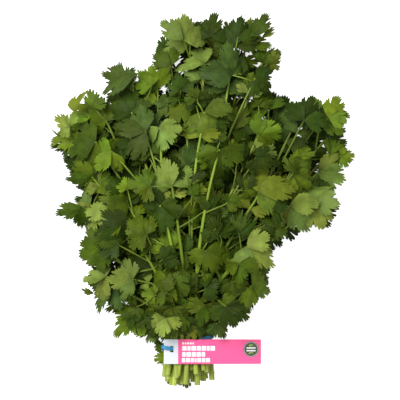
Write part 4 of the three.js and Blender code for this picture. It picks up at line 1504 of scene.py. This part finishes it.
# Chance in the leaves, as the least and the most factor, or as a span about 0.
EACH_LEAF = (0.86, 1.14)
EACH_SIZE = (0.92, 1.02)
EACH_WIDTH = (0.75, 1.17)
EACH_TINT = (0.75, 1.25)
WARMTH = 0.24
TURNING = 16
# Leaflets of a large leaf are a little shorter, and a leaflet that stands alone is slimmer.
LARGE = {"from": 25, "factor": 0.88}
SLIM = {"single": 0.7, "others": 0.9}
# The droop, the fold and the cup of a leaflet: power and span of the chance, and what is taken off.
CURLS = ((2, 0.9, 0.1), (1.5, 0.9, 0.25), (2, 0.9, 0.1))
# How a leaflet leans forwards, how it tilts to its side, and the height of its waves.
LEAN = {"off": 0.6, "span": 0.4}
TILT = {"aside": 0.2, "span": 0.7}
WAVE = {"least": 0.02, "span": 0.05}
FULL_TURN = 6.28


def add_object(name, mesh):
    piece = bpy.data.objects.new(name, mesh)
    bpy.context.scene.collection.objects.link(piece)
    return piece


def hold(piece, slot, *nodes):
    """Put a piece on the body it rides on and hide the solids it stands for; slot is not used."""
    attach(piece, BODY)
    if nodes:
        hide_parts(*nodes)


class StemPlan:
    """The points of one leafy stem for its node tree: paths of stems and stalks, and leaflets."""

    def __init__(self, stem, leaf_settings, stem_settings):
        self.random = seeded("finish", stem.number)
        self.leaf_settings = leaf_settings
        self.rows = []
        self.edges = []
        ripe = max(0.0, self.random() * RIPE["span"] - RIPE["less"] - stem.row * RIPE["each_row"])
        fresh = np.array(stem_settings.fresh_color) * between(self.random, *FRESH)
        tint = fresh * (1 - ripe) + np.array(stem_settings.ripe_color) * ripe
        main = None
        for leaf in stem.leaves:
            if len(leaf.points):
                path = rounded(leaf.points, leaf.radii)
                if main is None:
                    main = path = self.with_cut_end(path)
                else:
                    path[0, :3] = main[nearest_on(main, path[0, :3]), :3]
                path[-1, 3] *= STALK["end"]
                if path is main:
                    self.add_path(path, tint, np.array(stem_settings.cut_color))
                else:
                    self.add_path(path, tint * STALK["tint"], None)
            self.add_leaf(leaf, stem)

    def with_cut_end(self, path):
        """The path with its cut end splayed, and one more point where the cut face's colour ends."""
        sideways = (path[0, 0] - NECK["x"]) * CUT["splay"] + (self.random() - 0.5) * CUT["stray"]
        shorter = (abs(path[0, 0] - CUT["x"]) * CUT["slant"] - CUT["beyond"]
                   + (self.random() - 0.5) * CUT["uneven"])
        shift = np.array((sideways, shorter, (self.random() - 0.4) * CUT["stray"] / 2))
        share = np.clip((CUT["from"] - path[:, 1]) / (CUT["from"] - path[0, 1]), 0, 1)
        path[:, :3] += share[:, None] * shift
        path[:, 2] = np.maximum(path[:, 2], path[:, 3] + CUT["above"])
        way = path[1] - path[0]
        near = path[0] + way * (CUT["skin"] / np.linalg.norm(way[:3]))
        return np.vstack([path[:1], near, path[1:]])

    def add_path(self, path, tint, cut_tint):
        first = len(self.rows)
        for number, (x, y, z, radius) in enumerate(path):
            base = min(max((NECK["exit"] + BASE["beyond"] - y) / BASE["over"], 0), 1)
            color = tint * (1.0 + base * np.array(BASE["paler"])) + base * base * BASE["white"]
            if number == 0 and cut_tint is not None:
                color = cut_tint
            self.rows.append({"joint": (x, y, z), "stem_radius": radius, "tint": color})
            if number:
                self.edges.append((first + number - 1, first + number))

    def tone(self, leaf, stem):
        """The colour of a leaf: its planned tone, or one by chance that is more often dark green low down,
        as painted shade.
        """
        low = 1 - stem.row / len(ROWS)
        chance = self.random()
        steps = ((DARK["share"] + DARK["low"] * low, "dark"), *TONES)
        drawn = next((tone for limit, tone in steps if chance < limit), "light")
        return np.array(getattr(self.leaf_settings, f"{leaf.tone or drawn}_color"))

    def add_leaf(self, leaf, stem):
        random = self.random
        tint = self.tone(leaf, stem) * between(random, *EACH_LEAF)
        slim = SLIM["single"] if leaf.sides == (0,) else SLIM["others"]
        for which in leaf.sides:
            own = leaf.frame.size * (1 if which == 0 else SIDE_LEAFLET) * between(random, *EACH_SIZE)
            own *= LARGE["factor"] if leaf.frame.size > LARGE["from"] else 1
            kind = "broad" if own > SMALLEST_BROAD else "small"
            first = 0 if kind == "broad" else VARIANTS["broad"]
            warm = (random() - 0.5) * WARMTH
            self.rows.append({
                "joint": leaf.frame.joint,
                "ahead": leaf.frame.ahead,
                "right": leaf.frame.right,
                "up": leaf.frame.up,
                "leaf_size": leaf.frame.size,
                "leaflet_length": own,
                "leaflet_turn": math.radians(which * LEAFLET_TURN + (random() - 0.5) * TURNING),
                "variant": first + int(random() * VARIANTS[kind]),
                "slim": slim * between(random, *EACH_WIDTH),
                "curl": [random() ** power * span - off for power, span, off in CURLS],
                "lean": ((random() - LEAN["off"]) * LEAN["span"],
                         which * TILT["aside"] + (random() - 0.5) * TILT["span"],
                         WAVE["least"] + random() * WAVE["span"]),
                "phase": random() * FULL_TURN,
                "tint": tint * between(random, *EACH_TINT) * (1 + warm, 1, 1 - warm),
                "is_leaflet": True,
            })

    def mesh(self, name):
        """A mesh of the paths and loose leaflet points, with what the node tree reads on them."""
        mesh = bpy.data.meshes.new(name)
        joints = np.array([row["joint"] for row in self.rows]) * MM
        mesh.from_pydata(joints.tolist(), self.edges, [])
        nothing = (0.0, 0.0, 0.0)
        add_attribute(mesh, "joint", "FLOAT_VECTOR", joints)
        for key in ("ahead", "right", "up", "curl", "lean"):
            add_attribute(mesh, key, "FLOAT_VECTOR", [row.get(key, nothing) for row in self.rows])
        for key in ("stem_radius", "leaf_size", "leaflet_length"):
            add_attribute(mesh, key, "FLOAT", [row.get(key, 0.0) * MM for row in self.rows])
        for key in ("leaflet_turn", "phase", "slim"):
            add_attribute(mesh, key, "FLOAT", [row.get(key, 0.0) for row in self.rows])
        add_attribute(mesh, "variant", "INT", [row.get("variant", 0) for row in self.rows])
        add_attribute(mesh, "is_leaflet", "BOOLEAN", [row.get("is_leaflet", False) for row in self.rows])
        add_attribute(mesh, "tint", "FLOAT_COLOR", [(*row["tint"], 1.0) for row in self.rows])
        return mesh


class BUNCH_OT_leafy_stems(Operator):
    """Grow the leafy stems, from their cut ends in the neck to their toothed leaflets"""

    bl_idname = "bunch.leafy_stems"
    bl_label = "Leafy stems"

    def execute(self, context):
        leaf_settings = context.scene.bunch_leaves
        stem_settings = context.scene.bunch_stems
        groups = {"veins": vein_group(), "mottle": mottle_group()}
        materials = {
            "Stem": stem_material(groups),
            "Leaf Upper": leaf_material(groups, "upper", leaf_settings),
            "Leaf Under": leaf_material(groups, "under", leaf_settings),
        }
        shapes = bpy.data.collections.new("leaflet_shapes")
        for kind, count in VARIANTS.items():
            for number in range(count):
                shapes.objects.link(leaflet_shape(kind, number, leaf_settings.tooth))
        tree = leafy_stem_tree()
        for stem in grow(leaf_settings.fill_step):
            low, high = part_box(stem.node)
            joint = stem.leaves[0].frame.joint * MM
            if any(not low[axis] - MM < joint[axis] < high[axis] + MM for axis in range(3)):
                raise RuntimeError(f"{stem.node} doesn't reach the joint of its last leaf")
            name = f"coriander_stem_{stem.number:02d}"
            piece = add_object(name, StemPlan(stem, leaf_settings, stem_settings).mesh(name))
            inputs = {"Leaflets": shapes, "Leaf Thickness": leaf_settings.thickness,
                      "Ribs": stem_settings.ribs, "Rib Depth": stem_settings.rib_depth, **materials}
            made_plain(piece, tree, inputs, keep=("tint", "rib"))
            hold(piece, "leaf_green", stem.node)
        for shape in list(shapes.objects):
            bpy.data.objects.remove(shape)
        bpy.data.collections.remove(shapes)
        return {"FINISHED"}


class BUNCH_OT_band(Operator):
    """Lay the elastic band round the neck and through the slit of the tag"""

    bl_idname = "bunch.band"
    bl_label = "Elastic band"

    def execute(self, context):
        points = [point * MM for point in band_loop().spaced(BAND["segments"] * 2)[:-1]]
        edges = [(number, (number + 1) % len(points)) for number in range(len(points))]
        mesh = bpy.data.meshes.new("elastic_band_ring")
        mesh.from_pydata(points, edges, [])
        piece = add_object("elastic_band_ring", mesh)
        rubber = grained_material("blue_rubber", context.scene.bunch_band.rubber_color, "rubber")
        inputs = {"Width": BAND["width"] * MM, "Thickness": BAND["thickness"] * MM, "Material": rubber}
        made_plain(piece, band_tree(), inputs)
        low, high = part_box("elastic_band")
        box = np.array([vertex.co for vertex in piece.data.vertices])
        if (box.min(0) < np.array(low) - MM).any() or (box.max(0) > np.array(high) + MM).any():
            raise RuntimeError("the band leaves the box of its solid")
        hold(piece, "band_blue", "elastic_band")
        return {"FINISHED"}


# ---- The tag -----------------------------------------------------------------------------------

# Printed blocks in place of words, as (left, top, height, widths) in millimetres from the card's
# left edge and top edge, and the round badge with its bars and sprigs.
BLOCK_ROWS = (
    (13.6, 2.2, 1.5, (1.4, 1.1, 1.6, 1.3, 1.1)),
    (13.6, 4.9, 3.4, (3.3, 2.4, 3.6, 2.9, 3.2, 2.2, 3.4)),
    (13.6, 9.4, 3.4, (2.6, 3.5, 2.9, 3.2, 2.6)),
    (13.4, 13.8, 3.1, (2.5, 2.9, 2.3, 1.5, 2.8, 2.6, 2.9)),
)
BADGE = {"x": 64.6, "y": 7.3, "radius": 5.8, "ring": 5.35, "ring_width": 0.2}
BARS = {"tops": (-1.4, 0.6), "half_width": 3.4, "height": 0.9}
SPRIGS = {"headings": (-52, 0, 52, 128, 180, 232), "away": 2.0, "length": 2.3, "width": 1.1}
BLOCK_CORNER = 0.3
# The opening that shows of the slit, from the slit's middle.
OPENING = {"left": 0.9, "width": 2.6, "length": 4.6, "corner": 0.5}
CARD_BEVEL = 0.08


def rounded_box(left, low, right, high, corner=BLOCK_CORNER, steps=3):
    """The outline of a rectangle with round corners, counter-clockwise."""
    points = []
    corners = ((right, high, 0), (left, high, 90), (left, low, 180), (right, low, 270))
    for x, y, start in corners:
        middle_x = x - math.copysign(corner, x - (left + right) / 2)
        middle_y = y - math.copysign(corner, y - (low + high) / 2)
        for step in range(steps + 1):
            turn = math.radians(start + 90 * step / steps)
            points.append((middle_x + corner * math.cos(turn), middle_y + corner * math.sin(turn)))
    return points


def circle(x, y, radius, steps=40):
    turns = [2 * math.pi * step / steps for step in range(steps)]
    return [(x + radius * math.cos(turn), y + radius * math.sin(turn)) for turn in turns]


def leaf_outline(x, y, length, width, heading, steps=8, fullness=0.8):
    """A pointed leaf from its base, as on a small sprig."""
    turn = math.radians(heading)
    points = []
    for side in (1, -1):
        for step in range(steps):
            t = step / steps if side > 0 else 1 - step / steps
            across = side * width / 2 * math.sin(math.pi * t ** fullness)
            points.append((x + length * t * math.sin(turn) + across * math.cos(turn),
                           y + length * t * math.cos(turn) - across * math.sin(turn)))
    return points[::-1]


def plate(name, outlines, low, high, bevel=0.0):
    """Flat pieces with the given outlines, from low to high; an outline in another one is a hole."""
    curve = bpy.data.curves.new(name, "CURVE")
    curve.dimensions = "2D"
    curve.fill_mode = "BOTH"
    curve.extrude = (high - low) / 2 * MM - bevel * MM
    curve.bevel_depth = bevel * MM
    curve.offset = -bevel * MM
    curve.bevel_resolution = 1
    for outline in outlines:
        spline = curve.splines.new("POLY")
        spline.points.add(len(outline) - 1)
        for point, (x, y) in zip(spline.points, outline):
            point.co = (x * MM, y * MM, 0, 1)
        spline.use_cyclic_u = True
    shape = bpy.data.objects.new(name, curve)
    bpy.context.scene.collection.objects.link(shape)
    mesh = bpy.data.meshes.new_from_object(shape)
    bpy.data.objects.remove(shape)
    bpy.data.curves.remove(curve)
    mesh.transform(Matrix.Translation((0, 0, (low + high) / 2 * MM)))
    return mesh


class BUNCH_OT_tag(Operator):
    """Make the printed card tag with its slit, its printed blocks and its round badge"""

    bl_idname = "bunch.tag"
    bl_label = "Card tag"

    def execute(self, context):
        settings = context.scene.bunch_tag
        left, top = TAG["left"], TAG["y"] + TAG["width"] / 2
        card = rounded_box(left, top - TAG["width"], left + TAG["length"], top, TAG["corner"] / 2, 5)
        x, half = SLIT["x"] - OPENING["left"], OPENING["width"] / 2
        y, half_length = BAND_WAY["slit_y"], OPENING["length"] / 2
        opening = rounded_box(x - half, y - half_length, x + half, y + half_length, OPENING["corner"], 5)
        face = TAG["z"] + TAG["thickness"]
        piece = add_object("printed_tag", plate("printed_tag", [card, opening], TAG["z"], face, CARD_BEVEL))
        piece.data.materials.append(card_material(settings))
        hold(piece, "tag_card", "card_tag")

        blocks = []
        for start, down, height, widths in BLOCK_ROWS:
            x = left + start
            for width in widths:
                blocks.append(rounded_box(x, top - down - height, x + width, top - down))
                x += width + PRINT["gap"]
        x, y = left + BADGE["x"], top - BADGE["y"]
        half = BARS["half_width"]
        for down in BARS["tops"]:
            blocks.append(rounded_box(x - half, y - down - BARS["height"], x + half, y - down))
        ring = [circle(x, y, BADGE["ring"]), circle(x, y, BADGE["ring"] - BADGE["ring_width"])]
        sprigs = []
        for heading in SPRIGS["headings"]:
            away = math.copysign(SPRIGS["away"], math.cos(math.radians(heading)))
            sprigs.append(leaf_outline(x, y + away, SPRIGS["length"], SPRIGS["width"], heading))
        prints = (
            ("tag_badge", [circle(x, y, BADGE["radius"])], settings.badge_color, 1),
            ("tag_blocks", blocks, settings.ink_color, 2),
            ("tag_badge_ring", ring, settings.ink_color, 2),
            ("tag_badge_sprigs", sprigs, settings.sprig_color, 2),
        )
        for name, outlines, color, layer in prints:
            mesh = plate(name, outlines, face - PRINT["sink"], face + PRINT["lift"] * layer)
            mesh.materials.append(grained_material(f"{name}_ink", color, "ink"))
            hold(add_object(name, mesh), "tag_card")
        return {"FINISHED"}


# ---- The stage ---------------------------------------------------------------------------------

# The stage, in metres; the camera's sensor is in millimetres.
FLOOR = {"half": 3.0, "low": -0.0002, "shine": 0.1}
KEY = {"place": (-0.66, 0.57, 1.32), "size": 0.8}
CAMERA = {"x": -0.0004, "y": -0.0008, "sensor": 36, "far": 20}


class BUNCH_OT_stage(Operator):
    """Set the pale floor, the soft light and the camera above the bunch"""

    bl_idname = "bunch.stage"
    bl_label = "Stage"

    def execute(self, context):
        settings = context.scene.bunch_stage
        mesh = bpy.data.meshes.new("floor")
        corners = ((-1, -1), (1, -1), (1, 1), (-1, 1))
        places = [(x * FLOOR["half"], y * FLOOR["half"], FLOOR["low"]) for x, y in corners]
        mesh.from_pydata(places, [], [(0, 1, 2, 3)])
        material, tree, shader = new_material("pale_floor")
        seen = put(tree, "ShaderNodeLightPath").outputs["Is Camera Ray"]
        color = color_mix(tree, seen, (*settings.floor_bounce, 1), (*settings.floor_color, 1))
        grained(tree, shader, color, "floor")
        glow = color_mix(tree, seen, (0, 0, 0, 1), (1, 1, 1, 1))
        feed(tree, shader.inputs["Emission Color"], glow)
        shader.inputs["Emission Strength"].default_value = settings.floor_glow
        shader.inputs["Specular IOR Level"].default_value = FLOOR["shine"]
        mesh.materials.append(material)
        add_object("floor", mesh)

        world = bpy.data.worlds.new("studio")
        world.use_nodes = True
        background = world.node_tree.nodes["Background"]
        background.inputs["Strength"].default_value = settings.sky
        background.inputs["Color"].default_value = (1, 1, 1, 1)
        context.scene.world = world
        light = bpy.data.lights.new("key", "AREA")
        light.energy = settings.key_power
        light.size = KEY["size"]
        key = bpy.data.objects.new("key", light)
        key.location = KEY["place"]
        key.rotation_euler = (-key.location).to_track_quat("-Z", "Y").to_euler()
        context.scene.collection.objects.link(key)

        camera = bpy.data.cameras.new("camera")
        camera.sensor_width = CAMERA["sensor"]
        camera.lens = camera.sensor_width * settings.height / settings.view
        camera.clip_end = CAMERA["far"]
        eye = bpy.data.objects.new("camera", camera)
        eye.location = (CAMERA["x"], CAMERA["y"], settings.height)
        context.scene.collection.objects.link(eye)
        context.scene.camera = eye
        context.scene.view_settings.view_transform = "Standard"
        return {"FINISHED"}


# What a user can set, and the operators in the order in which they build, each with its settings.
SETTINGS = {
    "bunch_leaves": LeafSettings,
    "bunch_stems": StemSettings,
    "bunch_band": BandSettings,
    "bunch_tag": TagSettings,
    "bunch_stage": StageSettings,
}
STEPS = (
    (BUNCH_OT_leafy_stems, ("bunch_leaves", "bunch_stems")),
    (BUNCH_OT_band, ("bunch_band",)),
    (BUNCH_OT_tag, ("bunch_tag",)),
    (BUNCH_OT_stage, ("bunch_stage",)),
)


class BUNCH_PT_panel(Panel):
    """Everything that builds the bunch, in the order in which it is built"""

    bl_idname = "BUNCH_PT_panel"
    bl_label = "Coriander Bunch"
    bl_space_type = "VIEW_3D"
    bl_region_type = "UI"
    bl_category = "Bunch"

    def draw(self, context):
        for operator, groups in STEPS:
            box = self.layout.box()
            box.operator(operator.bl_idname)
            for group in groups:
                settings = getattr(context.scene, group)
                for name in settings.bl_rna.properties.keys():
                    if name not in ("rna_type", "name"):
                        box.prop(settings, name)


def register():
    for cls in SETTINGS.values():
        bpy.utils.register_class(cls)
    for name, cls in SETTINGS.items():
        setattr(bpy.types.Scene, name, PointerProperty(type=cls))
    for operator, _ in STEPS:
        bpy.utils.register_class(operator)
    bpy.utils.register_class(BUNCH_PT_panel)


def unregister():
    bpy.utils.unregister_class(BUNCH_PT_panel)
    for operator, _ in reversed(STEPS):
        bpy.utils.unregister_class(operator)
    for name in SETTINGS:
        delattr(bpy.types.Scene, name)
    for cls in reversed(SETTINGS.values()):
        bpy.utils.unregister_class(cls)


def main():
    register()
    bpy.ops.bunch.leafy_stems()
    bpy.ops.bunch.band()
    bpy.ops.bunch.tag()
    bpy.ops.bunch.stage()
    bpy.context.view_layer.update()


if __name__ == "__main__":
    main()
